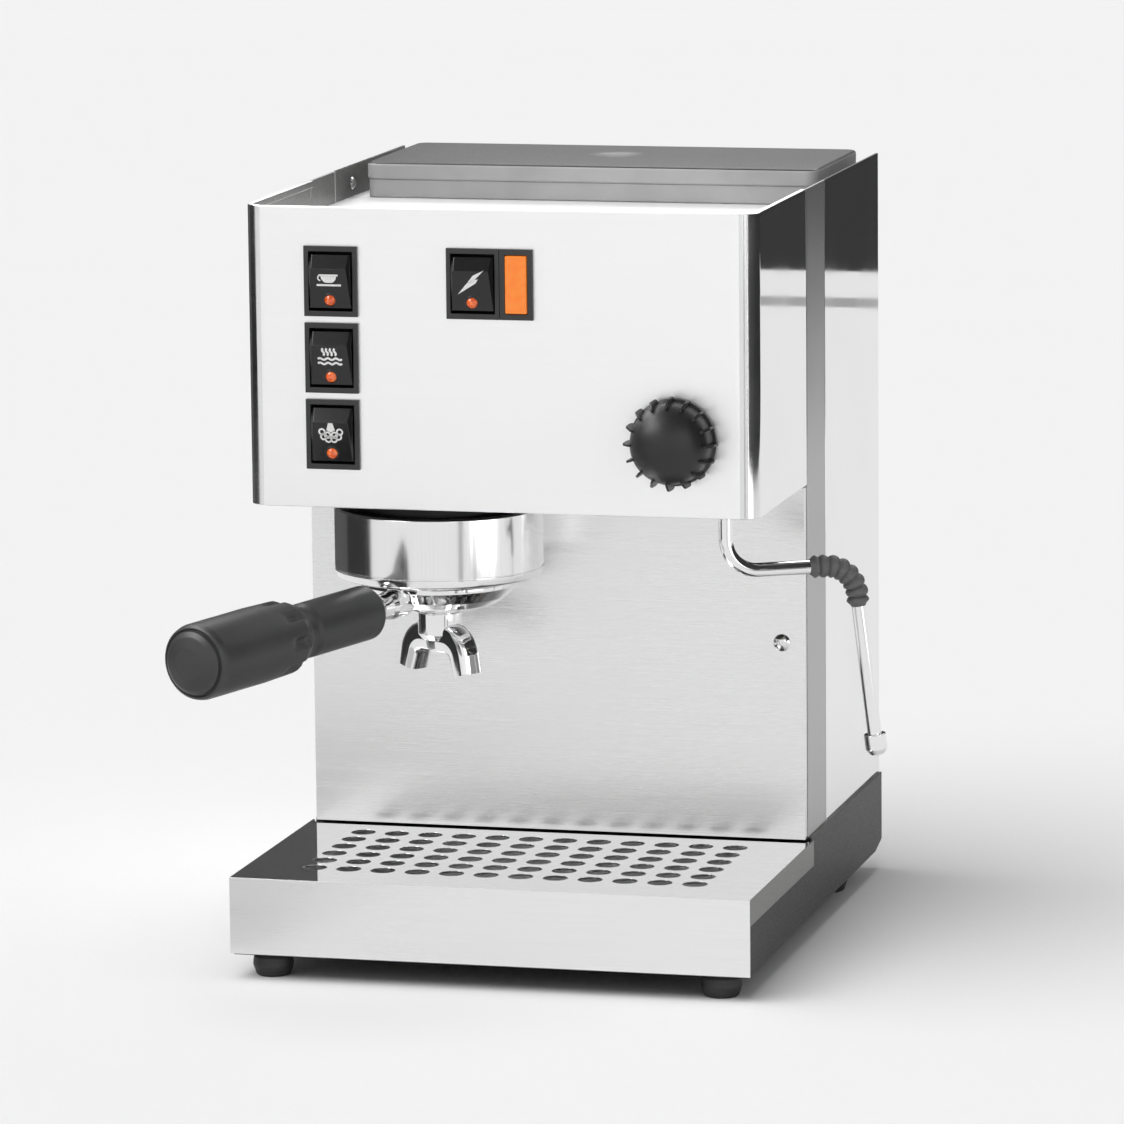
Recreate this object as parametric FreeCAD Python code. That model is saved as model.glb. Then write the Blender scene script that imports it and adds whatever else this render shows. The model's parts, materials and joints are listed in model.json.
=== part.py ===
"""Espresso machine: a stainless single-boiler machine with a bayonet portafilter, as separate pieces.

Frame: origin on the counter at the centre of the footprint, +X to the user's right, +Y to the rear,
+Z up, millimetres. One STEP file per node is written to parts/.
"""
import FreeCAD, Part
import math
import os

V = FreeCAD.Vector
UP = V(0, 0, 1)

# Driving dimensions ------------------------------------------------------------------------------
BODY_HALF_WIDTH = 117.5
DEPTH_HALF = 147.5
BODY_TOP = 347.5
SHEET = 1.2                      # casing sheet thickness

FOOT_HEIGHT = 11.0
FOOT_RADIUS = 9.3
FOOT_X = 104.0
FOOT_Y = (-134.0, 92.0)

BASE_HALF_WIDTH = 118.8
BASE_TOP = 45.6
BASE_WALL = 1.5
BASE_FRONT, BASE_REAR = -146.3, 147.2
BASE_REAR_CUT = 15.0             # lower rear corner, along Y
BASE_REAR_RISE = 3.5             # the same cut, along Z

COVER_HALF_WIDTH = 120.2
COVER_TOP = 46.6
COVER_SHEET = 1.0
COVER_FLANGE = 12.0
COVER_REAR = -14.0
HOLE_PITCH = 16.1
HOLE_RADIUS = 5.65
HOLE_COLUMNS = 12
HOLE_ROWS = 6
FIRST_ROW_Y = -38.3

PAN_WALL = 1.2
PAN_HALF_WIDTH = 112.0
PAN_FRONT, PAN_REAR = -142.0, -24.0
PAN_TOP = 44.6

SPLASH_FRONT = -18.3
PLINTH = 47.4                    # lower edge of the body panels
SCREW_RADIUS = 4.0
SPLASH_SCREW_X, SPLASH_SCREW_Z = 106.5, 139.2
REAR_SCREW_X, REAR_SCREW_Z = 106.0, (60.0, 190.0, 320.0)
WALL_SCREW_Y, WALL_SCREW_Z = 55.0, 339.0
INLET_X, INLET_Z = -74.0, 68.0   # power inlet in the rear panel

HOOD_FRONT = -117.3
HOOD_REAR = -14.0
HOOD_BOTTOM = 211.7
HOOD_CORNER = 9.0
HEM_WIDTH, HEM_DEPTH = 2.6, 3.2  # folded top edge of the hood
POST_FRONT, POST_REAR = -12.9, 25.5
POST_LEG = 10.0                  # depth of the channel section
TRAY_TOP = 333.0                 # cup tray surface

SWITCH_X = -76.8
SWITCH_Z = (314.1, 279.6, 245.1)
POWER_X, POWER_Z = -11.1, 314.3
LAMP_X = 8.85
BEZEL_WIDTH, BEZEL_HEIGHT, BEZEL_PROUD = 24.7, 31.6, 1.6
BEZEL_DEPTH = 13.0
LAMP_WIDTH = 15.3
WINDOW_WIDTH, WINDOW_HEIGHT = 20.4, 26.8
ROCKER_WIDTH, ROCKER_HALF_HEIGHT = 19.4, 12.0
ROCKER_PIVOT_Y = -112.0
AXLE_RADIUS, AXLE_HALF_LENGTH = 2.0, 10.7
RUNNING_FIT = 0.05
LED_RADIUS = 2.5
LED_BELOW_CENTRE = 8.2

KNOB_X, KNOB_Z = 80.3, 246.0
KNOB_BACK, KNOB_FRONT = -118.6, -141.4
KNOB_CORE, KNOB_RIB, KNOB_RIBS = 17.6, 20.8, 16
STEM_RADIUS = 4.0

WAND_X, WAND_Y = 96.0, -86.0
WAND_RADIUS, WAND_BEND = 3.2, 15.0
GRIP_RADIUS = 5.2
WAND_LEVEL = 183.0               # height of the sideways run
WAND_HEADING = 30.0              # degrees from +X towards +Y
WAND_REACH = 60.0
NOZZLE_TOP, NOZZLE_LENGTH, NOZZLE_RADIUS = 104.0, 9.5, 5.0

GROUP_X, GROUP_Y = -42.5, -66.4
BELL_RADIUS = 47.6
BELL_BOTTOM, BELL_TOP = 174.0, 206.8
BASKET_RADIUS = 29.75            # 58 mm class filter
RIM_Z = 185.0                    # top face of the portafilter body
BOWL_INSIDE = [(0, 163.6), (26.6, 163.6), (30.4, 171.5), (30.4, RIM_Z)]
HANDLE_LEVEL = 166.0
HANDLE_HEADING = -110.0          # degrees from +X, seen from above
HANDLE_DROOP = 1.6               # degrees below level
HANDLE_START, HANDLE_END = 57.4, 182.0       # both ends of the grip, from the group's axis
NECK_RADIUS = 6.8
SPOUT_TIP_Z = 130.0
SPOUT_SPREAD = 18.0
SPOUT_TWIST = -14.0              # degrees the arms stand off square to the handle
SPOUT_OUTER, SPOUT_INNER = 6.0, 4.6

BOILER_RADIUS = 34.5
BOILER_BOTTOM, BOILER_JOINT, BOILER_TOP = 216.0, 262.0, 316.0
BOLT_CIRCLE = 38.9

PARTITION_Y = 50.0
TANK_FRONT, TANK_REAR, TANK_HALF_WIDTH = 56.0, 140.0, 104.0
TANK_FLOOR, TANK_TOP, TANK_WALL = 92.0, 329.0, 2.5
OUTLET_Y = 98.0
SHELF_TOP = 88.0
LID_FRONT, LID_REAR, LID_HALF_WIDTH = 50.0, 144.5, 108.6
LID_PARTING, LID_TOP = 341.5, 349.5


# Helpers -----------------------------------------------------------------------------------------
def block(x0, x1, y0, y1, z0, z1):
    return Part.makeBox(x1 - x0, y1 - y0, z1 - z0, V(x0, y0, z0))


def rod(radius, start, direction, length):
    return Part.makeCylinder(radius, length, V(*start), V(*direction))


def ring(outer, inner, z0, z1, x=0.0, y=0.0):
    """Upright tube between two heights."""
    tube = rod(outer, (x, y, z0), (0, 0, 1), z1 - z0)
    return tube.cut(rod(inner, (x, y, z0 - 1), (0, 0, 1), z1 - z0 + 2))


def turned(profile):
    """Solid of revolution about Z from closed (radius, height) points."""
    points = [V(r, 0, z) for r, z in profile]
    face = Part.Face(Part.makePolygon(points + points[:1]))
    return face.revolve(V(0, 0, 0), UP, 360)


def joined(shapes):
    shapes = list(shapes)
    return shapes[0].multiFuse(shapes[1:]).removeSplitter() if len(shapes) > 1 else shapes[0]


def without(shape, tools):
    tools = list(tools)
    return shape.cut(tools) if tools else shape


def upright_edges(shape, wanted=lambda x, y: True):
    """Straight edges parallel to Z whose place passes the test."""
    found = []
    for edge in shape.Edges:
        a, b = edge.Vertexes[0].Point, edge.Vertexes[-1].Point
        if abs(a.x - b.x) < 1e-6 and abs(a.y - b.y) < 1e-6 and abs(a.z - b.z) > 1e-6 and wanted(a.x, a.y):
            found.append(edge)
    return found


def rounded_block(x0, x1, y0, y1, z0, z1, radius):
    solid = block(x0, x1, y0, y1, z0, z1)
    return solid.makeFillet(radius, upright_edges(solid))


def open_box(x0, x1, y0, y1, z0, z1, wall, radius):
    """Box with a floor and four walls, open at the top."""
    outer = rounded_block(x0, x1, y0, y1, z0, z1, radius)
    inner = rounded_block(x0 + wall, x1 - wall, y0 + wall, y1 - wall, z0 + wall, z1 + 1, radius - wall / 2)
    return outer.cut(inner)


def bent_wire(points, bend):
    """Straight runs joined by tangent arcs of one radius."""
    points = [V(*p) for p in points]
    edges, here = [], points[0]
    for before, corner, after in zip(points, points[1:], points[2:]):
        into = (corner - before).normalize()
        away = (after - corner).normalize()
        turn = into.getAngle(away)
        setback = bend * math.tan(turn / 2)
        arc_start, arc_end = corner - into * setback, corner + away * setback
        middle_way = (away - into).normalize()
        centre = corner + middle_way * (bend / math.cos(turn / 2))
        edges.append(Part.LineSegment(here, arc_start).toShape())
        edges.append(Part.Arc(arc_start, centre - middle_way * bend, arc_end).toShape())
        here = arc_end
    edges.append(Part.LineSegment(here, points[-1]).toShape())
    return Part.Wire(edges)


def swept(points, bend, radius):
    wire = bent_wire(points, bend)
    direction = V(*points[1]) - V(*points[0])
    circle = Part.Wire([Part.makeCircle(radius, V(*points[0]), direction)])
    return wire.makePipeShell([circle], True, False)


def bent_tube(points, bend, outer, inner):
    return swept(points, bend, outer).cut(swept(points, bend, inner))


def mirrored(shape):
    """The shape and its mirror image across the YZ plane, as two solids."""
    return [shape, shape.mirror(V(0, 0, 0), V(1, 0, 0))]


def dome_screw(point, direction, head=SCREW_RADIUS, shank=1.8, length=5.0):
    """Dome-head screw: head outside point, shank running inwards."""
    point, direction = V(*point), V(*direction).normalize()
    ball_radius = head * 1.25
    sink = math.sqrt(ball_radius ** 2 - head ** 2)
    ball = Part.makeSphere(ball_radius, point - direction * sink)
    dome = ball.common(Part.makeCylinder(head, ball_radius, point, direction))
    slot = Part.makeCylinder(shank * 0.6, ball_radius, point + direction * 0.8, direction)
    return joined([dome.cut(slot), Part.makeCylinder(shank, length, point, direction * -1)])


def save(node, shapes):
    shapes = shapes if isinstance(shapes, list) else [shapes]
    solids = [solid for shape in shapes for solid in shape.Solids]
    for solid in solids:
        assert solid.isValid() and solid.Volume > 0, node
    shape = solids[0] if len(solids) == 1 else Part.makeCompound(solids)
    shape.exportStep(f"parts/{node}.step")
    print(f"{node}: {len(solids)} solid(s), {sum(s.Volume for s in solids) / 1000:.2f} cm3")


# Base --------------------------------------------------------------------------------------------
def base_profile(inset):
    """Side view of the base as a prism across X, shrunk by inset."""
    half = BASE_HALF_WIDTH - inset
    front, rear = BASE_FRONT + inset, BASE_REAR - inset
    low = FOOT_HEIGHT + inset
    side = [V(-half, front, low), V(-half, rear - BASE_REAR_CUT, low),
            V(-half, rear, low + BASE_REAR_RISE), V(-half, rear, BASE_TOP + 1), V(-half, front, BASE_TOP + 1)]
    face = Part.Face(Part.makePolygon(side + side[:1]))
    return face.extrude(V(2 * half, 0, 0))


def base_frame():
    """Folded steel tub: floor, four walls, and a deck behind the splash panel."""
    shell = base_profile(0).cut(base_profile(BASE_WALL))
    shell = shell.cut(block(-200, 200, -200, 200, BASE_TOP, BASE_TOP + 20))
    half, inside, lip_inside = BASE_HALF_WIDTH, BASE_HALF_WIDTH - 1, BASE_HALF_WIDTH - 3.3
    deck = block(-inside, inside, SPLASH_FRONT - 1, BASE_REAR - 1, BASE_TOP - BASE_WALL, BASE_TOP)
    bulkhead = block(-inside, inside, SPLASH_FRONT - 1, SPLASH_FRONT + 0.5, FOOT_HEIGHT + 1, BASE_TOP)
    lip = block(-half, half, HOOD_REAR + 0.6, BASE_REAR, BASE_TOP, PLINTH)
    lip = lip.cut(block(-lip_inside, lip_inside, -30, BASE_REAR - 3, BASE_TOP - 1, PLINTH + 1))
    frame = joined([shell, deck, bulkhead, lip])
    bores = [rod(2.2, (x, y, FOOT_HEIGHT - 1), (0, 0, 1), 4) for x in (-FOOT_X, FOOT_X) for y in FOOT_Y]
    return without(frame, bores)


def feet():
    """Tapered rubber feet, each with a stud that goes up through the base."""
    foot = turned([(0, 0), (FOOT_RADIUS - 1.6, 0), (FOOT_RADIUS - 0.4, 1.2), (FOOT_RADIUS, 7.5),
                   (FOOT_RADIUS - 1.2, FOOT_HEIGHT), (2.1, FOOT_HEIGHT), (2.1, FOOT_HEIGHT + 1.5),
                   (0, FOOT_HEIGHT + 1.5)])
    return [foot.translated(V(x, y, 0)) for x in (-FOOT_X, FOOT_X) for y in FOOT_Y]


def drip_pan():
    return open_box(-PAN_HALF_WIDTH, PAN_HALF_WIDTH, PAN_FRONT, PAN_REAR, FOOT_HEIGHT + BASE_WALL, PAN_TOP,
                    PAN_WALL, 8.0)


def drip_cover():
    """One folded sheet: drilled top, deep front apron, short side flanges."""
    width, rear = COVER_HALF_WIDTH, SPLASH_FRONT - 0.8
    top = block(-width, width, -DEPTH_HALF, rear, COVER_TOP - COVER_SHEET, COVER_TOP)
    apron = block(-width, width, -DEPTH_HALF, -DEPTH_HALF + COVER_SHEET, FOOT_HEIGHT + 0.6, COVER_TOP)
    flanges = mirrored(block(width - COVER_SHEET, width, -DEPTH_HALF, COVER_REAR, COVER_TOP - COVER_FLANGE,
                             COVER_TOP))
    sheet = joined([top, apron] + flanges)
    first_x = -HOLE_PITCH * (HOLE_COLUMNS - 1) / 2
    places = [(first_x + HOLE_PITCH * i, FIRST_ROW_Y - HOLE_PITCH * j, COVER_TOP - 3)
              for i in range(HOLE_COLUMNS) for j in range(HOLE_ROWS)]
    holes = [rod(HOLE_RADIUS, place, (0, 0, 1), 5) for place in places]
    return without(sheet, holes)


# Body panels -------------------------------------------------------------------------------------
def splash_panel():
    half = BODY_HALF_WIDTH - 0.4
    plate = block(-half, half, SPLASH_FRONT, SPLASH_FRONT + 1.0, PLINTH, HOOD_BOTTOM - 0.6)
    returns = mirrored(block(half - 1.0, half, SPLASH_FRONT, POST_FRONT - 1.2, PLINTH, HOOD_BOTTOM - 0.6))
    panel = joined([plate] + returns)
    return without(panel, [rod(2.0, (x, SPLASH_FRONT - 1, SPLASH_SCREW_Z), (0, 1, 0), 4)
                           for x in (-SPLASH_SCREW_X, SPLASH_SCREW_X)])


def front_hood():
    """Front and sides in one folded sheet with a hem round the top edge."""
    outer = hood_block(0.0, HOOD_REAR, HOOD_BOTTOM, BODY_TOP)
    inner = hood_block(SHEET, HOOD_REAR + 20, HOOD_BOTTOM - 1, BODY_TOP - HEM_DEPTH)
    above = hood_block(HEM_WIDTH, HOOD_REAR + 20, HOOD_BOTTOM - 1, BODY_TOP + 1)
    shell = without(outer, [inner, above])
    openings = [switch_hole(SWITCH_X, z, BEZEL_WIDTH) for z in SWITCH_Z]
    openings += [switch_hole(POWER_X, POWER_Z, BEZEL_WIDTH), switch_hole(LAMP_X, POWER_Z, LAMP_WIDTH)]
    openings.append(rod(STEM_RADIUS + 2.0, (KNOB_X, HOOD_FRONT - 1, KNOB_Z), (0, 1, 0), 4))
    return without(shell, openings)


def hood_block(inset, rear, low, high):
    """Block with the hood's two round front corners, shrunk by inset."""
    half = BODY_HALF_WIDTH - inset
    solid = block(-half, half, HOOD_FRONT + inset, rear, low, high)
    return solid.makeFillet(HOOD_CORNER - inset, upright_edges(solid, lambda x, y: y < HOOD_FRONT + 5))


def switch_hole(x, z, width):
    half_w, half_h = width / 2 - 1.2, BEZEL_HEIGHT / 2 - 1.2
    return block(x - half_w, x + half_w, HOOD_FRONT - 1, HOOD_FRONT + 3, z - half_h, z + half_h)


def hood_floor():
    half = BODY_HALF_WIDTH - SHEET
    plate = block(-half, half, HOOD_FRONT + SHEET, SPLASH_FRONT - 0.3, HOOD_BOTTOM + 0.8, HOOD_BOTTOM + 2.0)
    plate = plate.makeFillet(HOOD_CORNER - SHEET, upright_edges(plate, lambda x, y: y < HOOD_FRONT + 5))
    return without(plate, [rod(43.5, (GROUP_X, GROUP_Y, 200), (0, 0, 1), 20),
                           rod(9.0, (WAND_X, WAND_Y, 200), (0, 0, 1), 20)])


def side_posts():
    """Channel-section uprights between hood and rear panels, standing on the base."""
    half = BODY_HALF_WIDTH
    web = block(half - SHEET, half, POST_FRONT, POST_REAR, PLINTH, BODY_TOP)
    front_leg = block(half - POST_LEG, half, POST_FRONT, POST_FRONT + SHEET, PLINTH, TRAY_TOP - 3)
    rear_leg = block(half - POST_LEG, half, POST_REAR - SHEET, POST_REAR, PLINTH, TRAY_TOP - 3)
    return mirrored(joined([web, front_leg, rear_leg]))


def side_panels():
    half = BODY_HALF_WIDTH
    panel = block(half - SHEET, half, POST_REAR + 0.8, DEPTH_HALF, PLINTH, BODY_TOP)
    return mirrored(panel.cut(rod(1.4, (half - 3, WALL_SCREW_Y, WALL_SCREW_Z), (1, 0, 0), 2.9)))


def rear_panel():
    """Rear sheet with a field of cooling slots and an opening for the power inlet."""
    half = BODY_HALF_WIDTH - SHEET - 0.2
    plate = block(-half, half, DEPTH_HALF - SHEET, DEPTH_HALF, PLINTH, TRAY_TOP - 1.5)
    slots = [rounded_slot(x, 236.0 + 11.0 * row) for x in (-52.0, 0.0, 52.0) for row in range(7)]
    inlet = inlet_block(28.0, 22.0, DEPTH_HALF - 5, DEPTH_HALF + 5)
    bores = [rod(1.6, (x, DEPTH_HALF - 5, z), (0, 1, 0), 10) for x in (-REAR_SCREW_X, REAR_SCREW_X)
             for z in REAR_SCREW_Z]
    return without(plate, slots + bores + [inlet])


def rounded_slot(x, z, length=40.0, height=4.0):
    slot = block(x - length / 2, x + length / 2, DEPTH_HALF - 5, DEPTH_HALF + 5,
                 z - height / 2, z + height / 2)
    ends = [edge for edge in slot.Edges if abs(edge.Vertexes[0].Y - edge.Vertexes[-1].Y) > 5]
    return slot.makeFillet(height / 2 - 0.01, ends)


def cup_tray():
    half = BODY_HALF_WIDTH - SHEET - 0.3
    plate = block(-half, half, HOOD_FRONT + SHEET + 0.3, PARTITION_Y - 2, TRAY_TOP - 1.2, TRAY_TOP)
    corners = upright_edges(plate, lambda x, y: y < HOOD_FRONT + 5)
    return plate.makeFillet(HOOD_CORNER - SHEET, corners)


def tank_collar():
    """Frame round the tank opening that the lid sits on."""
    half = BODY_HALF_WIDTH - SHEET - 0.3
    plate = block(-half, half, PARTITION_Y - 1.7, DEPTH_HALF - SHEET - 0.1, TRAY_TOP - 1.2, TRAY_TOP)
    return plate.cut(block(-TANK_HALF_WIDTH - 1.5, TANK_HALF_WIDTH + 1.5, TANK_FRONT - 1.5, TANK_REAR + 1.5,
                           TRAY_TOP - 5, TRAY_TOP + 5))


def partition():
    half = BODY_HALF_WIDTH - SHEET - 0.5
    return block(-half, half, PARTITION_Y, PARTITION_Y + 1.2, PLINTH, TRAY_TOP - 1.4)


def case_screws():
    """Dome-head screws of one size, wherever the casing shows them."""
    splash_xs, rear_xs = (-SPLASH_SCREW_X, SPLASH_SCREW_X), (-REAR_SCREW_X, REAR_SCREW_X)
    wall = BODY_HALF_WIDTH - SHEET
    screws = [dome_screw((x, SPLASH_FRONT, SPLASH_SCREW_Z), (0, -1, 0)) for x in splash_xs]
    screws += [dome_screw((side * wall, WALL_SCREW_Y, WALL_SCREW_Z), (-side, 0, 0), 3.0, 1.2, 1.0)
               for side in (-1, 1)]
    screws += [dome_screw((x, DEPTH_HALF, z), (0, 1, 0), 3.2, 1.4, 1.0)
               for x in rear_xs for z in REAR_SCREW_Z]
    return screws


# Controls ----------------------------------------------------------------------------------------
def bezel(x, z, width, window_width, window_height):
    """Frame with a flange on the panel and a sleeve that passes through it."""
    half_w, half_h = width / 2, BEZEL_HEIGHT / 2
    flange = block(x - half_w, x + half_w, HOOD_FRONT - BEZEL_PROUD, HOOD_FRONT, z - half_h, z + half_h)
    sleeve = block(x - half_w + 1.4, x + half_w - 1.4, HOOD_FRONT - 0.5, HOOD_FRONT + BEZEL_DEPTH,
                   z - half_h + 1.4, z + half_h - 1.4)
    window = block(x - window_width / 2, x + window_width / 2, HOOD_FRONT - 5, HOOD_FRONT + BEZEL_DEPTH - 1.5,
                   z - window_height / 2, z + window_height / 2)
    return joined([flange, sleeve]).cut(window)


def switch_bezels():
    """Four frames bored for the keys' axles, and a narrow one for the lamp."""
    frames = [bezel(SWITCH_X, z, BEZEL_WIDTH, WINDOW_WIDTH, WINDOW_HEIGHT).cut(axle(SWITCH_X, z, RUNNING_FIT))
              for z in SWITCH_Z]
    power = bezel(POWER_X, POWER_Z, BEZEL_WIDTH - 0.4, WINDOW_WIDTH, WINDOW_HEIGHT)
    frames.append(power.cut(axle(POWER_X, POWER_Z, RUNNING_FIT)))
    frames.append(bezel(LAMP_X, POWER_Z, LAMP_WIDTH - 0.1, LAMP_WIDTH - 5.0, WINDOW_HEIGHT - 0.4))
    return frames


def axle(x, z, extra=0.0):
    """Round bar across a key on its hinge axis, grown by extra all round."""
    half = AXLE_HALF_LENGTH + extra
    return rod(AXLE_RADIUS + extra, (x - half, ROCKER_PIVOT_Y, z), (1, 0, 0), 2 * half)


def lamp_lens():
    half_w, half_h = (LAMP_WIDTH - 5.4) / 2, (WINDOW_HEIGHT - 1.0) / 2
    return block(LAMP_X - half_w, LAMP_X + half_w, HOOD_FRONT - 2.4, HOOD_FRONT + 10, POWER_Z - half_h,
                 POWER_Z + half_h)


def rocker(x, z):
    """Key whose upper quarter slopes back from a ridge and whose lower face is flat, on a round axle."""
    half_w, half_h = ROCKER_WIDTH / 2, ROCKER_HALF_HEIGHT
    pivot = ROCKER_PIVOT_Y
    outline = [(-half_h, pivot - 6.9), (half_h * 0.5, pivot - 10.6), (half_h, pivot - 6.6), (half_h, pivot),
               (4.0, pivot + 4.5), (-4.0, pivot + 4.5), (-half_h, pivot)]
    points = [V(x - half_w, y, z + dz) for dz, y in outline]
    key = Part.Face(Part.makePolygon(points + points[:1])).extrude(V(2 * half_w, 0, 0))
    seat = rod(LED_RADIUS, (x, pivot - 13.0, z - LED_BELOW_CENTRE), (0, 1, 0), 10.0)
    return joined([key, axle(x, z)]).cut(seat)


def led(x, z):
    """Round light dome set in the lower part of a key."""
    level = z - LED_BELOW_CENTRE
    body = rod(LED_RADIUS, (x, ROCKER_PIVOT_Y - 7.4, level), (0, 1, 0), 4.4)
    dome = Part.makeSphere(LED_RADIUS * 1.15, V(x, ROCKER_PIVOT_Y - 6.3, level))
    dome = dome.common(rod(LED_RADIUS, (x, ROCKER_PIVOT_Y - 12.0, level), (0, 1, 0), 6.0))
    return joined([body, dome])


def steam_knob():
    """Domed knob with ribs round its rim, bored for the stem."""
    depth = KNOB_BACK - KNOB_FRONT
    skirt = KNOB_RIB - 1.4
    core = turned([(0, 0), (skirt, 0), (skirt, 2.5), (KNOB_CORE, 3.5), (KNOB_CORE, depth - 4.5),
                   (KNOB_CORE - 2.0, depth - 2.0), (KNOB_CORE - 7.0, depth - 0.5), (0, depth)])
    rib = block(KNOB_CORE - 2, KNOB_RIB, -0.9, 0.9, 2.0, depth - 5.5)
    ribs = [rib.rotated(V(0, 0, 0), UP, 360.0 * i / KNOB_RIBS) for i in range(KNOB_RIBS)]
    bore = rod(STEM_RADIUS, (0, 0, -1), (0, 0, 1), 13)
    knob = joined([core] + ribs).cut(bore)
    knob.rotate(V(0, 0, 0), V(1, 0, 0), 90)
    return knob.translated(V(KNOB_X, KNOB_BACK, KNOB_Z))


def valve_stem():
    front = rod(STEM_RADIUS, (KNOB_X, KNOB_BACK - 12, KNOB_Z), (0, 1, 0), 27)
    return joined([front, rod(2.4, (KNOB_X, KNOB_BACK + 15, KNOB_Z), (0, 1, 0), 5.0)])


def valve_needle():
    point = Part.makeCone(2.4, 0.8, 6.0, V(KNOB_X, KNOB_BACK + 26.0, KNOB_Z), V(0, 1, 0))
    return joined([rod(2.4, (KNOB_X, KNOB_BACK + 20.0, KNOB_Z), (0, 1, 0), 6.0), point])


def steam_valve():
    """Brass body with a blind bore for stem and needle, and a socket for the wand."""
    body = block(KNOB_X - 11, KNOB_X + 22, -104.0, -78.0, KNOB_Z - 11, KNOB_Z + 11)
    socket = rod(7.5, (WAND_X, WAND_Y, HOOD_BOTTOM - 1.0), (0, 0, 1), KNOB_Z - 8 - HOOD_BOTTOM)
    valve = joined([body, socket])
    stem_bore = rod(STEM_RADIUS + 0.4, (KNOB_X, -105.0, KNOB_Z), (0, 1, 0), 25.0)
    wand_bore = rod(WAND_RADIUS + 0.08, (WAND_X, WAND_Y, HOOD_BOTTOM - 3.0), (0, 0, 1), 22.0)
    return without(valve, [stem_bore, wand_bore])


def gland_nut():
    nut = hexagon(8.0, 9.0)
    nut = nut.cut(rod(STEM_RADIUS + 0.4, (0, 0, -1), (0, 0, 1), 20))
    nut.rotate(V(0, 0, 0), V(1, 0, 0), -90)
    return nut.translated(V(KNOB_X, -113.0, KNOB_Z))


def hexagon(inner_radius, height):
    corner = inner_radius / math.cos(math.pi / 6)
    points = [V(corner * math.cos(math.pi / 3 * i), corner * math.sin(math.pi / 3 * i), 0) for i in range(6)]
    return Part.Face(Part.makePolygon(points + points[:1])).extrude(V(0, 0, height))


# Steam wand --------------------------------------------------------------------------------------
def wand_points():
    heading = V(math.cos(math.radians(WAND_HEADING)), math.sin(math.radians(WAND_HEADING)), 0)
    elbow = V(WAND_X, WAND_Y, WAND_LEVEL)
    bend = elbow + heading * WAND_REACH
    tip = elbow + heading * (WAND_REACH + 10.0)
    return [V(WAND_X, WAND_Y, HOOD_BOTTOM + 14.0), elbow, bend, V(tip.x, tip.y, NOZZLE_TOP)]


def wand_pipe():
    points = [tuple(p) for p in wand_points()]
    return bent_tube(points, WAND_BEND, WAND_RADIUS, 2.0)


def wand_grip():
    """Rubber sleeve over the second bend."""
    _, elbow, bend, tip = wand_points()
    out, down = (bend - elbow).normalize(), (tip - bend).normalize()
    points = [tuple(bend - out * 21.0), tuple(bend), tuple(bend + down * 22.0)]
    return bent_tube(points, WAND_BEND, GRIP_RADIUS, WAND_RADIUS)


def wand_nozzle():
    _, _, bend, tip = wand_points()
    down = (tip - bend).normalize()
    body = Part.makeCylinder(NOZZLE_RADIUS, NOZZLE_LENGTH - 2.5, tip - down * 1.0, down)
    nose = Part.makeCone(NOZZLE_RADIUS, NOZZLE_RADIUS - 1.8, 2.5, tip + down * (NOZZLE_LENGTH - 3.5), down)
    bore = Part.makeCylinder(1.0, 30, tip - down * 2.0, down)
    seat = Part.makeCylinder(WAND_RADIUS, 1.0, tip - down * 1.0, down)
    return without(joined([body, nose]), [bore, seat])


# Group and portafilter ---------------------------------------------------------------------------
def at_group(shape):
    return shape.translated(V(GROUP_X, GROUP_Y, 0))


def on_portafilter(shape):
    """Turn a shape built with the handle along +X to its rest heading at the group."""
    turned_shape = shape.copy()
    turned_shape.rotate(V(0, 0, 0), UP, HANDLE_HEADING)
    return at_group(turned_shape)


def group_head():
    """Bell with an inner ledge for the portafilter's lugs, and a neck up to the boiler."""
    bell = turned([(35.4, BELL_BOTTOM), (BELL_RADIUS - 5, BELL_BOTTOM), (BELL_RADIUS - 1.5, BELL_BOTTOM + 2),
                   (BELL_RADIUS, BELL_BOTTOM + 6), (BELL_RADIUS, BELL_TOP - 1), (BELL_RADIUS - 1, BELL_TOP),
                   (40.0, BELL_TOP), (40.0, BOILER_BOTTOM), (8.0, BOILER_BOTTOM), (8.0, 199.0), (26.0, 199.0),
                   (26.0, 195.0), (36.5, 195.0), (36.5, 186.0), (41.8, 186.0), (41.8, BELL_BOTTOM + 4.0),
                   (35.4, BELL_BOTTOM + 4.0)])
    notches = []
    for side in (0, 180):
        notch = block(30, 41.0, -11.5, 11.5, BELL_BOTTOM - 1, BELL_BOTTOM + 5)
        notches.append(notch.rotated(V(0, 0, 0), UP, HANDLE_HEADING + 45 + side))
    return at_group(without(bell, notches))


def group_gasket():
    return at_group(ring(36.3, 29.6, 186.4, 195.0))


def shower_holder():
    return at_group(turned([(3.0, 199.0), (3.0, 192.0), (25.6, 192.0), (25.6, 199.0)]))


def shower_screen():
    """Thin perforated disc with a turned-up rim under the holder."""
    disc = turned([(3.0, 189.2), (28.6, 189.2), (28.6, 194.5), (27.9, 194.5), (27.9, 190.0), (3.0, 190.0)])
    holes = [rod(0.9, (r * math.cos(a), r * math.sin(a), 188), (0, 0, 1), 4)
             for r, count in ((8.0, 8), (14.0, 14), (20.0, 20), (25.0, 26))
             for a in [2 * math.pi * i / count for i in range(count)]]
    return at_group(without(disc, holes))


def shower_screw():
    head = turned([(0, 187.6), (4.2, 188.2), (4.6, 189.2), (2.8, 189.2), (2.8, 197.5), (0, 197.5)])
    return at_group(head.cut(block(-5, 5, -0.5, 0.5, 187, 188.4)))


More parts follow.
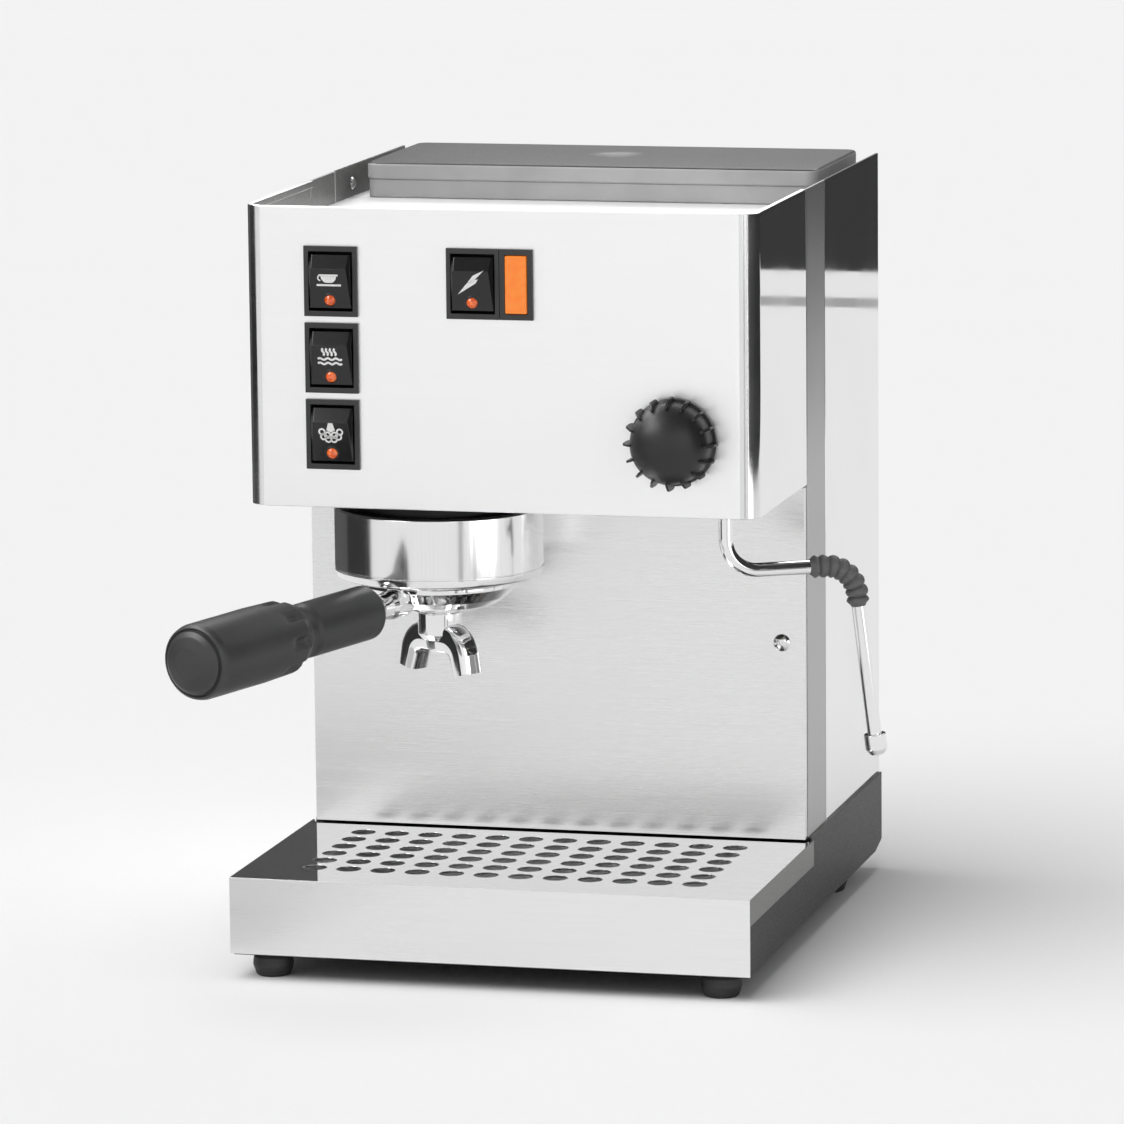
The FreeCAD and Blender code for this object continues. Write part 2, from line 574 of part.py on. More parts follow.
def portafilter_body():
    """Bowl with two bayonet lugs, a threaded stub below and a socket for the handle."""
    outside = [(34.4, RIM_Z), (34.9, 173.4), (36.4, 172.4), (36.4, 171.0), (35.3, 169.2), (32.0, 165.4),
               (27.0, 162.0), (20.0, 159.8), (12.0, 158.6), (9.0, 158.2), (9.0, 153.5), (0, 153.5)]
    bowl = turned(BOWL_INSIDE + outside)
    lugs = []
    for side in (0, 180):
        lug = block(30.5, 40.6, -10, 10, BELL_BOTTOM + 4.4, BELL_BOTTOM + 8.4)
        lug = lug.common(rod(40.6, (0, 0, 150), (0, 0, 1), 60)).cut(rod(31.0, (0, 0, 150), (0, 0, 1), 60))
        lugs.append(lug.rotated(V(0, 0, 0), UP, 90 + side))
    start = V(24.0, 0, HANDLE_LEVEL)
    neck = Part.makeCylinder(NECK_RADIUS, HANDLE_START - 0.1 - start.x, start, handle_direction())
    neck = neck.cut(turned(BOWL_INSIDE + [(0, RIM_Z)]))
    drain = rod(4.0, (0, 0, 140), (0, 0, 1), 30)
    return on_portafilter(joined([bowl] + lugs + [neck]).cut(drain))


def handle_direction():
    return V(math.cos(math.radians(HANDLE_DROOP)), 0, -math.sin(math.radians(HANDLE_DROOP)))


def along_handle(profile):
    """Turned shape whose (radius, distance) profile runs along the handle's axis."""
    shape = turned(profile)
    shape.rotate(V(0, 0, 0), V(0, 1, 0), 90 + HANDLE_DROOP)
    return on_portafilter(shape.translated(V(0, 0, HANDLE_LEVEL + 0.7)))


def handle():
    """Slim neck part, then a waisted step to the fuller grip."""
    start, end = HANDLE_START, HANDLE_END
    grip = [(0, start), (11.6, start), (12.4, start + 2.0), (12.4, 105.0), (11.4, 108.0), (11.6, 112.0),
            (15.2, 118.0), (16.6, 122.0), (17.1, 142.0), (17.0, end), (0, end)]
    return along_handle(grip)


def handle_cap():
    profile = [(0, 0), (16.2, 0), (16.2, 1.1), (16.9, 1.5), (16.5, 3.2), (13.6, 5.4), (8.0, 6.7), (0, 7.2)]
    return along_handle([(radius, HANDLE_END + beyond) for radius, beyond in profile])


def filter_basket():
    """Tapered steel cup with a rolled rim and a drilled floor."""
    inner = BASKET_RADIUS - 0.6
    cup = turned([(0, 165.0), (25.0, 165.0), (27.2, 167.8), (BASKET_RADIUS, 178.0), (BASKET_RADIUS, RIM_Z),
                  (34.0, RIM_Z), (34.0, RIM_Z + 1.0), (inner, RIM_Z + 1.0), (inner, 178.0), (26.6, 168.2),
                  (24.6, 165.7), (0, 165.7)])
    holes = [rod(0.8, (r * math.cos(a), r * math.sin(a), 164), (0, 0, 1), 4)
             for r, count in ((4.0, 6), (9.0, 12), (14.0, 18), (19.0, 24))
             for a in [2 * math.pi * i / count for i in range(count)]]
    return on_portafilter(without(cup, holes))


def basket_spring():
    """Wire ring, split at one side, that grips the basket in the bowl."""
    wire = Part.makeTorus(BASKET_RADIUS + 0.3, 0.28, V(0, 0, 181.5))
    return on_portafilter(wire.cut(block(20, 40, -3, 3, 178, 185)))


def spout():
    """Threaded nut with two curved tubular arms that run out sideways and down."""
    nut = turned([(4.0, 144.5), (8.2, 144.5), (10.2, 147.0), (10.2, 157.2), (9.2, 157.2), (9.2, 153.2),
                  (4.0, 153.2)])
    arms = []
    for side in (-1, 1):
        shoulder, tip = side * SPOUT_SPREAD * 0.9, side * (SPOUT_SPREAD + 1.0)
        path = [(0, 0, 147.0), (0, shoulder, 146.0), (0, tip, SPOUT_TIP_Z)]
        arms.append(bent_tube(path, 9.0, SPOUT_OUTER, SPOUT_INNER))
    body = joined([nut] + arms).cut(rod(3.9, (0, 0, 146.5), (0, 0, 1), 20))
    return on_portafilter(body.rotated(V(0, 0, 0), UP, SPOUT_TWIST))


# Water side --------------------------------------------------------------------------------------
def water_tank():
    half = TANK_HALF_WIDTH
    tank = open_box(-half, half, TANK_FRONT, TANK_REAR, TANK_FLOOR, TANK_TOP, TANK_WALL, 9.0)
    return tank.cut(rod(6.0, (0, OUTLET_Y, TANK_FLOOR - 2), (0, 0, 1), 8))


def tank_valve():
    """Outlet spigot in the tank floor with a plug above it."""
    inside, outlet = TANK_FLOOR + TANK_WALL, TANK_FLOOR - 6
    valve = turned([(0, TANK_FLOOR + 6), (9.0, TANK_FLOOR + 6), (9.0, inside), (5.9, inside), (5.9, outlet),
                    (3.5, outlet), (3.5, TANK_FLOOR), (0, TANK_FLOOR)])
    return valve.translated(V(0, OUTLET_Y, 0))


def tank_shelf():
    """Shelf with turned-down legs, and a cup under the tank's spigot."""
    half = BODY_HALF_WIDTH - SHEET - 2.0
    top = block(-half, half, PARTITION_Y + 3, DEPTH_HALF - 5, SHELF_TOP - 1.5, SHELF_TOP)
    legs = mirrored(block(half - 1.5, half, PARTITION_Y + 3, DEPTH_HALF - 5, BASE_TOP, SHELF_TOP))
    rails = mirrored(block(70, 78, TANK_FRONT + 6, TANK_REAR - 6, SHELF_TOP, TANK_FLOOR))
    dock = rod(13.0, (0, OUTLET_Y, SHELF_TOP - 12), (0, 0, 1), 15.5)
    shelf = joined([top, dock] + legs + rails)
    return without(shelf, [rod(6.4, (0, OUTLET_Y, SHELF_TOP - 3), (0, 0, 1), 10),
                           rod(2.5, (0, OUTLET_Y, SHELF_TOP - 20), (0, 0, 1), 20)])


def tank_lid():
    """Upper shell of the lid with a shallow round finger dish."""
    shell = rounded_block(-LID_HALF_WIDTH, LID_HALF_WIDTH, LID_FRONT, LID_REAR, LID_PARTING, LID_TOP, 6.0)
    rim = [edge for edge in shell.Edges if all(abs(v.Z - LID_TOP) < 1e-6 for v in edge.Vertexes)]
    shell = shell.makeFillet(1.6, rim)
    hollow = rounded_block(-LID_HALF_WIDTH + 2.5, LID_HALF_WIDTH - 2.5, LID_FRONT + 2.5, LID_REAR - 2.5,
                           LID_PARTING - 1, LID_TOP - 3.5, 4.0)
    dish = Part.makeSphere(60.0, V(0, 104.0, LID_TOP + 58.0))
    return without(shell, [hollow, dish])


def tank_lid_frame():
    """Lower frame of the lid, which seats on the collar."""
    half = LID_HALF_WIDTH
    outer = rounded_block(-half + 0.6, half - 0.6, LID_FRONT + 0.6, LID_REAR - 0.6, TRAY_TOP,
                          LID_PARTING, 5.6)
    inner = rounded_block(-half + 3.5, half - 3.5, LID_FRONT + 3.5, LID_REAR - 3.5, TRAY_TOP - 1,
                          LID_PARTING + 1, 4.0)
    return outer.cut(inner)


def boiler_half(low, high, flange_low, flange_high, cap_at_top):
    """Cup-shaped half with a bolted flange."""
    body = rod(BOILER_RADIUS, (0, 0, low), (0, 0, 1), high - low)
    flange = rod(BOLT_CIRCLE + 5, (0, 0, flange_low), (0, 0, 1), flange_high - flange_low)
    hollow_low, hollow_high = (low - 1, high - 4) if cap_at_top else (low + 4, high + 1)
    hollow = rod(BOILER_RADIUS - 4, (0, 0, hollow_low), (0, 0, 1), hollow_high - hollow_low)
    shell = joined([body, flange]).cut(hollow)
    bores = [rod(2.6, (BOLT_CIRCLE * math.cos(a), BOLT_CIRCLE * math.sin(a), flange_low - 1), (0, 0, 1), 20)
             for a in bolt_angles()]
    return at_group(without(shell, bores))


def bolt_angles():
    return [math.radians(45 + 90 * i) for i in range(4)]


def boiler_bolts():
    bolts = []
    for angle in bolt_angles():
        head = hexagon(4.0, 4.0).translated(V(0, 0, BOILER_JOINT + 6))
        shank = rod(2.5, (0, 0, BOILER_JOINT - 8), (0, 0, 1), 15)
        bolt = joined([head, shank])
        place = V(BOLT_CIRCLE * math.cos(angle), BOLT_CIRCLE * math.sin(angle), 0)
        bolts.append(at_group(bolt.translated(place)))
    return bolts


def heating_element():
    """Bent tube heater hanging in the boiler, its cold ends through the cap."""
    loop = swept([(-18, 0, BOILER_TOP + 8), (-18, 0, 232), (18, 0, 232), (18, 0, BOILER_TOP + 8)], 12.0, 3.4)
    return at_group(loop)


def boiler_lower():
    return boiler_half(BOILER_BOTTOM, BOILER_JOINT, BOILER_JOINT - 6, BOILER_JOINT, False)


def boiler_upper():
    """Cap half, bored for the heater's two cold ends."""
    shell = boiler_half(BOILER_JOINT, BOILER_TOP, BOILER_JOINT, BOILER_JOINT + 6, True)
    return without(shell, [at_group(rod(3.4, (x, 0, BOILER_TOP - 10), (0, 0, 1), 20)) for x in (-18, 18)])


def thermostats():
    body = turned([(0, 0), (8.0, 0), (8.0, 6.5), (5.0, 6.5), (5.0, 9.5), (0, 9.5)])
    return [body.translated(V(GROUP_X, GROUP_Y + y, BOILER_TOP)) for y in (-22.0, 22.0)]


def pump_body():
    """Vibration pump: iron frame with inlet and outlet stubs, lying across the bay."""
    frame = block(12, 52, -6, 34, 92, 130).cut(rod(14.0, (8, 14, 111), (1, 0, 0), 50))
    core = rod(7.0, (-14, 14, 111), (1, 0, 0), 96)
    ends = [rod(16.0, (-2, 14, 111), (1, 0, 0), 14), rod(16.0, (52, 14, 111), (1, 0, 0), 12)]
    return joined([frame, core] + ends)


def pump_coil():
    return rod(13.8, (12.2, 14, 111), (1, 0, 0), 39.6).cut(rod(7.2, (10, 14, 111), (1, 0, 0), 50))


def solenoid_valve():
    body = block(-100, -74, 0, 26, 196, 222)
    coil = rod(15.0, (-87, 13, 222), (0, 0, 1), 34)
    return joined([body, coil])


def water_hoses():
    """From the shelf's dock down and forward, towards the pump inlet."""
    return bent_tube([(0, OUTLET_Y, SHELF_TOP - 12), (0, OUTLET_Y, 62), (-30, OUTLET_Y, 62), (-30, 58, 62)],
                     10.0, 4.0, 2.5)


def copper_pipes():
    """Pump to boiler, boiler to steam valve."""
    feed = bent_tube([(82, 14, 111), (98, 14, 111), (98, 14, 300), (98, -40, 300), (KNOB_X, -40, 300),
                      (KNOB_X, GROUP_Y, 300), (GROUP_X + BOILER_RADIUS, GROUP_Y, 300)], 6.0, 2.5, 1.5)
    steam = bent_tube([(GROUP_X + BOILER_RADIUS, GROUP_Y - 8, 286), (KNOB_X, GROUP_Y - 8, 286),
                       (KNOB_X, GROUP_Y - 24, 286), (KNOB_X, GROUP_Y - 24, KNOB_Z + 11)], 6.0, 2.5, 1.5)
    return [feed, steam]


def power_inlet():
    """Recessed three-pin inlet flush with the rear panel."""
    flange = inlet_block(33.0, 27.0, DEPTH_HALF, DEPTH_HALF + 1.8)
    shroud = inlet_block(27.0, 21.0, DEPTH_HALF - 18.0, DEPTH_HALF + 0.5)
    recess = inlet_block(23.0, 16.0, DEPTH_HALF - 16.0, DEPTH_HALF + 5)
    pin_places = [(INLET_X + dx, INLET_Z + dz) for dx, dz in ((-7.0, -2.0), (0.0, 2.0), (7.0, -2.0))]
    pins = [block(x - 1.0, x + 1.0, DEPTH_HALF - 17, DEPTH_HALF - 4, z - 2.0, z + 2.0) for x, z in pin_places]
    return joined([joined([flange, shroud]).cut(recess)] + pins)


def inlet_block(width, height, y0, y1):
    return block(INLET_X - width / 2, INLET_X + width / 2, y0, y1, INLET_Z - height / 2, INLET_Z + height / 2)


SINGLE_NODES = (
    base_frame, feet, drip_pan, drip_cover,
    splash_panel, front_hood, hood_floor, side_posts, side_panels, rear_panel, cup_tray, tank_collar,
    partition, case_screws,
    switch_bezels, lamp_lens, steam_knob, valve_stem, valve_needle, steam_valve, gland_nut,
    wand_pipe, wand_grip, wand_nozzle,
    group_head, group_gasket, shower_holder, shower_screen, shower_screw,
    portafilter_body, handle, handle_cap, filter_basket, basket_spring, spout,
    water_tank, tank_valve, tank_shelf, tank_lid, tank_lid_frame,
    boiler_lower, boiler_upper, boiler_bolts, heating_element, thermostats,
    pump_body, pump_coil, solenoid_valve, water_hoses, copper_pipes, power_inlet,
)
KEYS = {"coffee": (SWITCH_X, SWITCH_Z[0]), "water": (SWITCH_X, SWITCH_Z[1]),
        "steam": (SWITCH_X, SWITCH_Z[2]), "power": (POWER_X, POWER_Z)}


def build():
    os.makedirs("parts", exist_ok=True)
    for make in SINGLE_NODES:
        save(make.__name__, make())
    for name, (x, z) in KEYS.items():
        save(f"rocker_{name}", rocker(x, z))
        save(f"light_{name}", led(x, z))


build()
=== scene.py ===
"""Looks of the espresso machine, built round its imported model. Lengths in the tables are millimetres."""
import json
import math

import bmesh
import bpy
from mathutils import Matrix, Vector


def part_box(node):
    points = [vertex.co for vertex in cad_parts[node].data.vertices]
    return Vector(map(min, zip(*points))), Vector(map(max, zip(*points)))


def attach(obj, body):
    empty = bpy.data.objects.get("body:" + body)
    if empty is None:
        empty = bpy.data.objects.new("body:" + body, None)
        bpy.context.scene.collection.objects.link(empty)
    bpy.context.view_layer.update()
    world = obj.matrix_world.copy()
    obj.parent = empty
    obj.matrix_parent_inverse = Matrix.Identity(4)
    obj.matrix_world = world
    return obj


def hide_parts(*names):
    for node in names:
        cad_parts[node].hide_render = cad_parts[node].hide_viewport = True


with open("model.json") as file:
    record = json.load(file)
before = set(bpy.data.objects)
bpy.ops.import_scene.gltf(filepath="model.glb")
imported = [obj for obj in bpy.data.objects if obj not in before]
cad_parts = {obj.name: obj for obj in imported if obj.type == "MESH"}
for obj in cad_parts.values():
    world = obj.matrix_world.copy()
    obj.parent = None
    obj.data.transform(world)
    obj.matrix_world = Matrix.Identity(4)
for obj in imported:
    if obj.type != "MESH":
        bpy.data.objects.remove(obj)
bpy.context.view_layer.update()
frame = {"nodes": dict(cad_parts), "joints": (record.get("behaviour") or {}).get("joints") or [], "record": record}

MM = 0.001
TAU = 2 * math.pi
JOINTS = {joint["name"]: joint for joint in frame["joints"]}
BODY_OF = {node: body for body, nodes in frame["record"]["behaviour"]["bodies"].items() for node in nodes}
SLOT_OF = {part["node"]: part["material_slot"] for part in frame["record"]["subparts"]}


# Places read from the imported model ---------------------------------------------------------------
def box_mm(node):
    """Lowest and highest corner of a node in millimetres."""
    low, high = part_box(node)
    return Vector(low) / MM, Vector(high) / MM


def joint_mm(name):
    """A joint's anchor in millimetres."""
    return Vector(JOINTS[name]["pos_m"]) / MM


HOOD_LOW = box_mm("front_hood")[0]
COVER_LOW, COVER_HIGH = box_mm("drip_cover")
BELL_LOW, BELL_HIGH = box_mm("group_head")
LID_LOW = box_mm("tank_lid")[0]
KNOB_LOW, KNOB_HIGH = box_mm("steam_knob")
GROUP = joint_mm("portafilter_turn")
WAND = joint_mm("wand_swing")
HANDLE_HEADING = math.radians(-110.0)
HANDLE_DROOP = math.radians(1.6)
HANDLE_LEVEL = 166.7            # height of the neck's axis where it crosses the group axis


# Node helpers ------------------------------------------------------------------------------------
class Nodes:
    """Short way to write a material's node tree."""

    def __init__(self, name):
        self.material = bpy.data.materials.new(name)
        self.material.use_nodes = True
        self.tree = self.material.node_tree
        self.shader = self.tree.nodes["Principled BSDF"]
        self.place = self.add("ShaderNodeTexCoord").outputs["Object"]

    def add(self, kind, inputs=None, **settings):
        node = self.tree.nodes.new(kind)
        for name, value in settings.items():
            setattr(node, name, value)
        for name, value in (inputs or {}).items():
            self.link_or_set(node.inputs[name], value)
        return node

    def set(self, **values):
        """Set or link the shader's inputs; an underscore stands for a space in a name."""
        for name, value in values.items():
            self.link_or_set(self.shader.inputs[name.replace("_", " ")], value)

    def link_or_set(self, socket, value):
        if isinstance(value, bpy.types.NodeSocket):
            self.tree.links.new(value, socket)
        else:
            socket.default_value = value

    def stretched(self, scale):
        """Object coordinates scaled per axis, in repeats per metre."""
        return self.add("ShaderNodeMapping", {"Vector": self.place, "Scale": scale}).outputs["Vector"]

    def noise(self, vector, scale=1.0, detail=3.0, rough=0.55):
        return self.add("ShaderNodeTexNoise", {"Vector": vector, "Scale": scale, "Detail": detail,
                                               "Roughness": rough}).outputs["Fac"]

    def spread(self, value, low, high, source=(0.3, 0.7)):
        """Value remapped from its source range to low..high."""
        return self.add("ShaderNodeMapRange", {"Value": value, "From Min": source[0], "From Max": source[1],
                                               "To Min": low, "To Max": high}).outputs["Result"]

    def between(self, value, dark, light, source=(0.3, 0.7)):
        """Colour between two colours by a value."""
        ramp = self.add("ShaderNodeValToRGB", {"Fac": value})
        for element, position, colour in zip(ramp.color_ramp.elements, source, (dark, light)):
            element.position = position
            element.color = (*colour, 1.0)
        return ramp.outputs["Color"]

    def bump(self, height, distance, strength):
        return self.add("ShaderNodeBump", {"Height": height, "Distance": distance,
                                           "Strength": strength}).outputs["Normal"]

    def edge_wear_and_highlight(self, radius):
        """1 near convex edges, 0 elsewhere."""
        bevel = self.add("ShaderNodeBevel", {"Radius": radius}, samples=4).outputs["Normal"]
        true_normal = self.add("ShaderNodeNewGeometry").outputs["Normal"]
        dot = self.add("ShaderNodeVectorMath", {0: bevel, 1: true_normal}, operation="DOT_PRODUCT")
        return self.spread(dot.outputs["Value"], 1.0, 0.0, (0.85, 0.99))


# Materials ---------------------------------------------------------------------------------------
LINES_ACROSS, LINES_ALONG = 3200.0, 14.0        # brush lines, in repeats per metre


def brushed(name, grain, tone, rough, depth=0.00002, contrast=0.03, metallic=1.0, anisotropy=0.5):
    """Satin stainless. grain is the axis the brush lines run along."""
    n = Nodes(name)
    scale = [LINES_ACROSS] * 3
    scale["xyz".index(grain)] = LINES_ALONG
    lines = n.noise(n.stretched(scale), detail=4.0, rough=0.7)
    cloud = n.noise(n.place, scale=7.0, detail=2.0)
    n.set(Base_Color=n.between(lines, (tone * (1 - contrast),) * 3, (tone * (1 + contrast),) * 3),
          Metallic=metallic,
          Roughness=n.add("ShaderNodeMath", {0: n.spread(lines, *rough), 1: n.spread(cloud, -0.02, 0.02)},
                          operation="ADD").outputs["Value"],
          Anisotropic=anisotropy,
          Normal=n.bump(lines, depth, 0.25))
    return n.material


def mirror(name, tone=0.83, rough=0.03):
    """Polished stainless with faint haze and hairlines."""
    n = Nodes(name)
    haze = n.noise(n.place, scale=16.0, detail=5.0)
    hair = n.noise(n.stretched((900.0, 40.0, 900.0)), detail=2.0)
    n.set(Base_Color=n.between(haze, (tone * 0.96,) * 3, (tone,) * 3),
          Metallic=1.0,
          Roughness=n.spread(haze, rough * 0.6, rough * 1.8),
          Normal=n.bump(hair, 0.000003, 0.1))
    return n.material


def chrome(name, tone=0.86, rough=0.05):
    """Plated metal with a trace of haze."""
    n = Nodes(name)
    haze = n.noise(n.place, scale=60.0, detail=4.0)
    n.set(Base_Color=n.between(haze, (tone * 0.95, tone * 0.95, tone * 0.96), (tone, tone, tone)),
          Metallic=1.0,
          Roughness=n.spread(haze, rough * 0.7, rough * 1.7),
          Normal=n.bump(haze, 0.00001, 0.05))
    return n.material


def plain_metal(name, dark, light, rough=(0.25, 0.4), scale=220.0):
    """Machined or drawn metal with small spots of tone."""
    n = Nodes(name)
    spots = n.noise(n.place, scale=scale, detail=5.0)
    n.set(Base_Color=n.between(spots, dark, light), Metallic=1.0, Roughness=n.spread(spots, *rough),
          Normal=n.bump(spots, 0.00003, 0.15))
    return n.material


def powder_coat(name, dark, light):
    """Painted sheet with a fine orange-peel surface."""
    n = Nodes(name)
    peel = n.noise(n.place, scale=1400.0, detail=3.0)
    broad = n.noise(n.place, scale=9.0, detail=2.0)
    n.set(Base_Color=n.between(broad, dark, light), Metallic=0.0, Roughness=n.spread(peel, 0.34, 0.48),
          Specular_IOR_Level=0.3, Normal=n.bump(peel, 0.00004, 0.3))
    return n.material


MIX_COLOUR_A, MIX_COLOUR_B, MIX_COLOUR_OUT = 6, 7, 2     # the mix node's colour sockets, by number


def moulded(name, dark, light, rough, grain_scale=2600.0, grain_depth=0.00003, coat=0.0, wear_and_highlight=2.2):
    """Moulded plastic: fine grain, slightly uneven tone, lighter convex edges that are partly rubbed wear and
    partly a painted highlight.
    """
    n = Nodes(name)
    grain = n.noise(n.place, scale=grain_scale, detail=2.0)
    broad = n.noise(n.place, scale=22.0, detail=3.0)
    worn_and_lit_edges = n.edge_wear_and_highlight(0.0004)
    tone = n.between(broad, dark, light)
    # convex edges mixed towards a lighter grey: partly rubbed wear, partly a painted highlight
    rubbed_and_lit = n.add("ShaderNodeMix", {"Factor": n.spread(worn_and_lit_edges, 0.0, 0.25, (0.0, 1.0))}, data_type="RGBA")
    n.link_or_set(rubbed_and_lit.inputs[MIX_COLOUR_A], tone)
    n.link_or_set(rubbed_and_lit.inputs[MIX_COLOUR_B], (*(part * wear_and_highlight for part in light), 1.0))
    n.set(Base_Color=rubbed_and_lit.outputs[MIX_COLOUR_OUT],
          Roughness=n.spread(grain, *rough), Coat_Weight=coat, Coat_Roughness=0.08,
          Normal=n.bump(grain, grain_depth, 0.4))
    return n.material


def rubber(name, tone=0.022):
    """Matt rubber with a fine grain."""
    n = Nodes(name)
    grain = n.noise(n.place, scale=1800.0, detail=3.0)
    n.set(Base_Color=n.between(grain, (tone * 0.8,) * 3, (tone * 1.5,) * 3),
          Roughness=n.spread(grain, 0.45, 0.62), Specular_IOR_Level=0.45,
          Normal=n.bump(grain, 0.00004, 0.35))
    return n.material


def lit_lens(name, deep, bright, glow, scale):
    """Translucent coloured plastic with a weak light behind it."""
    n = Nodes(name)
    cells = n.noise(n.place, scale=scale, detail=2.0)
    colour = n.between(cells, deep, bright, (0.35, 0.65))
    n.set(Base_Color=colour, Emission_Color=colour, Emission_Strength=glow,
          Roughness=n.spread(cells, 0.1, 0.2), Subsurface_Weight=0.2,
          Subsurface_Radius=(0.002, 0.001, 0.0005), Subsurface_Scale=1.0,
          Coat_Weight=0.5, Coat_Roughness=0.05, Normal=n.bump(cells, 0.00002, 0.2))
    return n.material


def tank_wall(name):
    """Frosted translucent tank plastic."""
    n = Nodes(name)
    frost = n.noise(n.place, scale=900.0, detail=3.0)
    broad = n.noise(n.place, scale=12.0, detail=2.0)
    n.set(Base_Color=n.between(broad, (0.80, 0.84, 0.86), (0.88, 0.90, 0.91)),
          Roughness=n.spread(frost, 0.18, 0.3), Transmission_Weight=0.7, IOR=1.49,
          Normal=n.bump(frost, 0.00003, 0.3))
    return n.material


def printed(name):
    """White pad-printed ink with slightly uneven cover."""
    n = Nodes(name)
    cover = n.noise(n.place, scale=1500.0, detail=4.0)
    n.set(Base_Color=n.between(cover, (0.80, 0.80, 0.79), (0.93, 0.93, 0.92)),
          Roughness=n.spread(cover, 0.45, 0.6), Normal=n.bump(cover, 0.00002, 0.3))
    return n.material


def studio_paper(name, tone):
    n = Nodes(name)
    speck = n.noise(n.place, scale=300.0, detail=3.0)
    n.set(Base_Color=n.between(speck, (tone - 0.005,) * 3, (tone + 0.005,) * 3), Roughness=0.9,
          Specular_IOR_Level=0.0)
    return n.material


def glow_card(name, strength):
    n = Nodes(name)
    n.set(Base_Color=(0.0, 0.0, 0.0, 1.0), Specular_IOR_Level=0.0, Emission_Color=(1.0, 1.0, 1.0, 1.0),
          Emission_Strength=strength)
    return n.material


MATERIALS = {
    "hood": brushed("hood_steel", "x", tone=0.93, rough=(0.34, 0.42), depth=0.00001, contrast=0.01),
    "fold": mirror("folded_steel", 0.80, 0.14),
    "splash": brushed("splash_steel", "x", tone=0.80, rough=(0.22, 0.30)),
    "apron": brushed("apron_steel", "x", tone=0.84, rough=(0.26, 0.36)),
    "post": brushed("post_steel", "z", tone=0.42, rough=(0.28, 0.38)),
    "sheet": brushed("sheet_steel", "x", tone=0.78, rough=(0.28, 0.40)),
    "tray": brushed("tray_steel", "x", tone=0.88, rough=(0.40, 0.52), metallic=0.35, anisotropy=0.0),
    "bell": brushed("bell_steel", "z", tone=0.84, rough=(0.09, 0.19), depth=0.000005, contrast=0.06),
    "mirror": mirror("mirror_steel"),
    # grey textured steel: the drip cover's side flanges, also a painted highlight on the base lip and painted
    # shade on the inner walls
    "flange_and_painted_light": plain_metal("flange_steel_and_painted_light", (0.20, 0.20, 0.20), (0.36, 0.36, 0.35), (0.35, 0.5), 900.0),
    "polished": chrome("polished_steel", 0.78, 0.12),
    "chrome": chrome("chrome_plate"),
    "brass": plain_metal("brass_body", (0.66, 0.50, 0.26), (0.80, 0.62, 0.34)),
    "copper": plain_metal("copper_tube", (0.70, 0.36, 0.22), (0.82, 0.46, 0.30)),
    "frame": powder_coat("frame_paint", (0.008, 0.008, 0.009), (0.015, 0.015, 0.016)),
    # near-black coat for the group's neck: painted shade in the gap between bell and hood
    "neck_painted_shade": powder_coat("neck_painted_shade_coat", (0.010, 0.010, 0.011), (0.018, 0.018, 0.019)),
    "black": moulded("black_plastic", (0.014, 0.014, 0.015), (0.022, 0.022, 0.023), (0.30, 0.42)),
    "bezel": moulded("bezel_plastic", (0.020, 0.020, 0.021), (0.030, 0.030, 0.031), (0.38, 0.50)),
    # keys: edges lightened strongly, a painted highlight along the ridge and bevels
    "key": moulded("key_plastic", (0.005, 0.005, 0.006), (0.009, 0.009, 0.010), (0.14, 0.20),
                   2200.0, 0.00001, wear_and_highlight=22.0),
    # knob: rib edges lightened, painted highlight glints
    "knob": moulded("knob_plastic", (0.009, 0.009, 0.010), (0.014, 0.014, 0.015), (0.38, 0.46),
                    900.0, 0.00001, wear_and_highlight=8.0),
    "gloss": moulded("gloss_plastic", (0.008, 0.008, 0.009), (0.014, 0.014, 0.015), (0.14, 0.22),
                     900.0, 0.00001, 0.3),
    "handle": moulded("handle_plastic", (0.028, 0.028, 0.029), (0.044, 0.044, 0.045), (0.40, 0.50),
                      3200.0, 0.00005),
    # the lid's top keeps the dark plastic; the lighter copy below is painted light
    "lid_top": moulded("lid_top_plastic", (0.035, 0.035, 0.036), (0.050, 0.050, 0.051), (0.30, 0.42),
                       1500.0, 0.00006),
    # light grey copy of the lid plastic: painted light standing in for the lid's front and sides lit from the
    # front
    "lid": moulded("lid_plastic", (0.36, 0.36, 0.362), (0.50, 0.50, 0.502), (0.42, 0.55), 1100.0, 0.00015),
    "rubber": rubber("foot_rubber"),
    "grip": rubber("grip_rubber", 0.10),
    "led": lit_lens("led_lens", (0.60, 0.07, 0.01), (0.95, 0.20, 0.04), 0.18, 700.0),
    "lamp": lit_lens("lamp_lens_plastic", (0.86, 0.20, 0.008), (0.92, 0.24, 0.012), 0.22, 300.0),
    "tank": tank_wall("tank_plastic"),
    "hose": tank_wall("hose_silicone"),
    "ink": printed("icon_ink"),
}

MATERIAL_OF_SLOT = {
    "painted_frame": "frame", "rubber": "rubber", "brushed_steel": "sheet", "mirror_steel": "mirror",
    "polished_steel": "polished", "chrome": "chrome", "brass": "brass", "black_plastic": "black",
    "gloss_black": "gloss", "orange_lens": "led", "copper": "copper", "clear_hose": "hose",
    "tank_plastic": "tank", "lid_plastic": "lid",
}


# Mesh helpers ------------------------------------------------------------------------------------
BEVEL_FROM_ANGLE = math.radians(35)


def finish_piece(name, bm, node, material, replaced=(), bevel=None, smooth=35.0):
    """Turn a bmesh in millimetres into a piece that rides with node's body."""
    bmesh.ops.scale(bm, vec=(MM, MM, MM), verts=bm.verts)
    bmesh.ops.recalc_face_normals(bm, faces=bm.faces)
    mesh = bpy.data.meshes.new(name)
    bm.to_mesh(mesh)
    bm.free()
    return dress(bpy.data.objects.new(name, mesh), node, material, replaced, bevel, smooth)


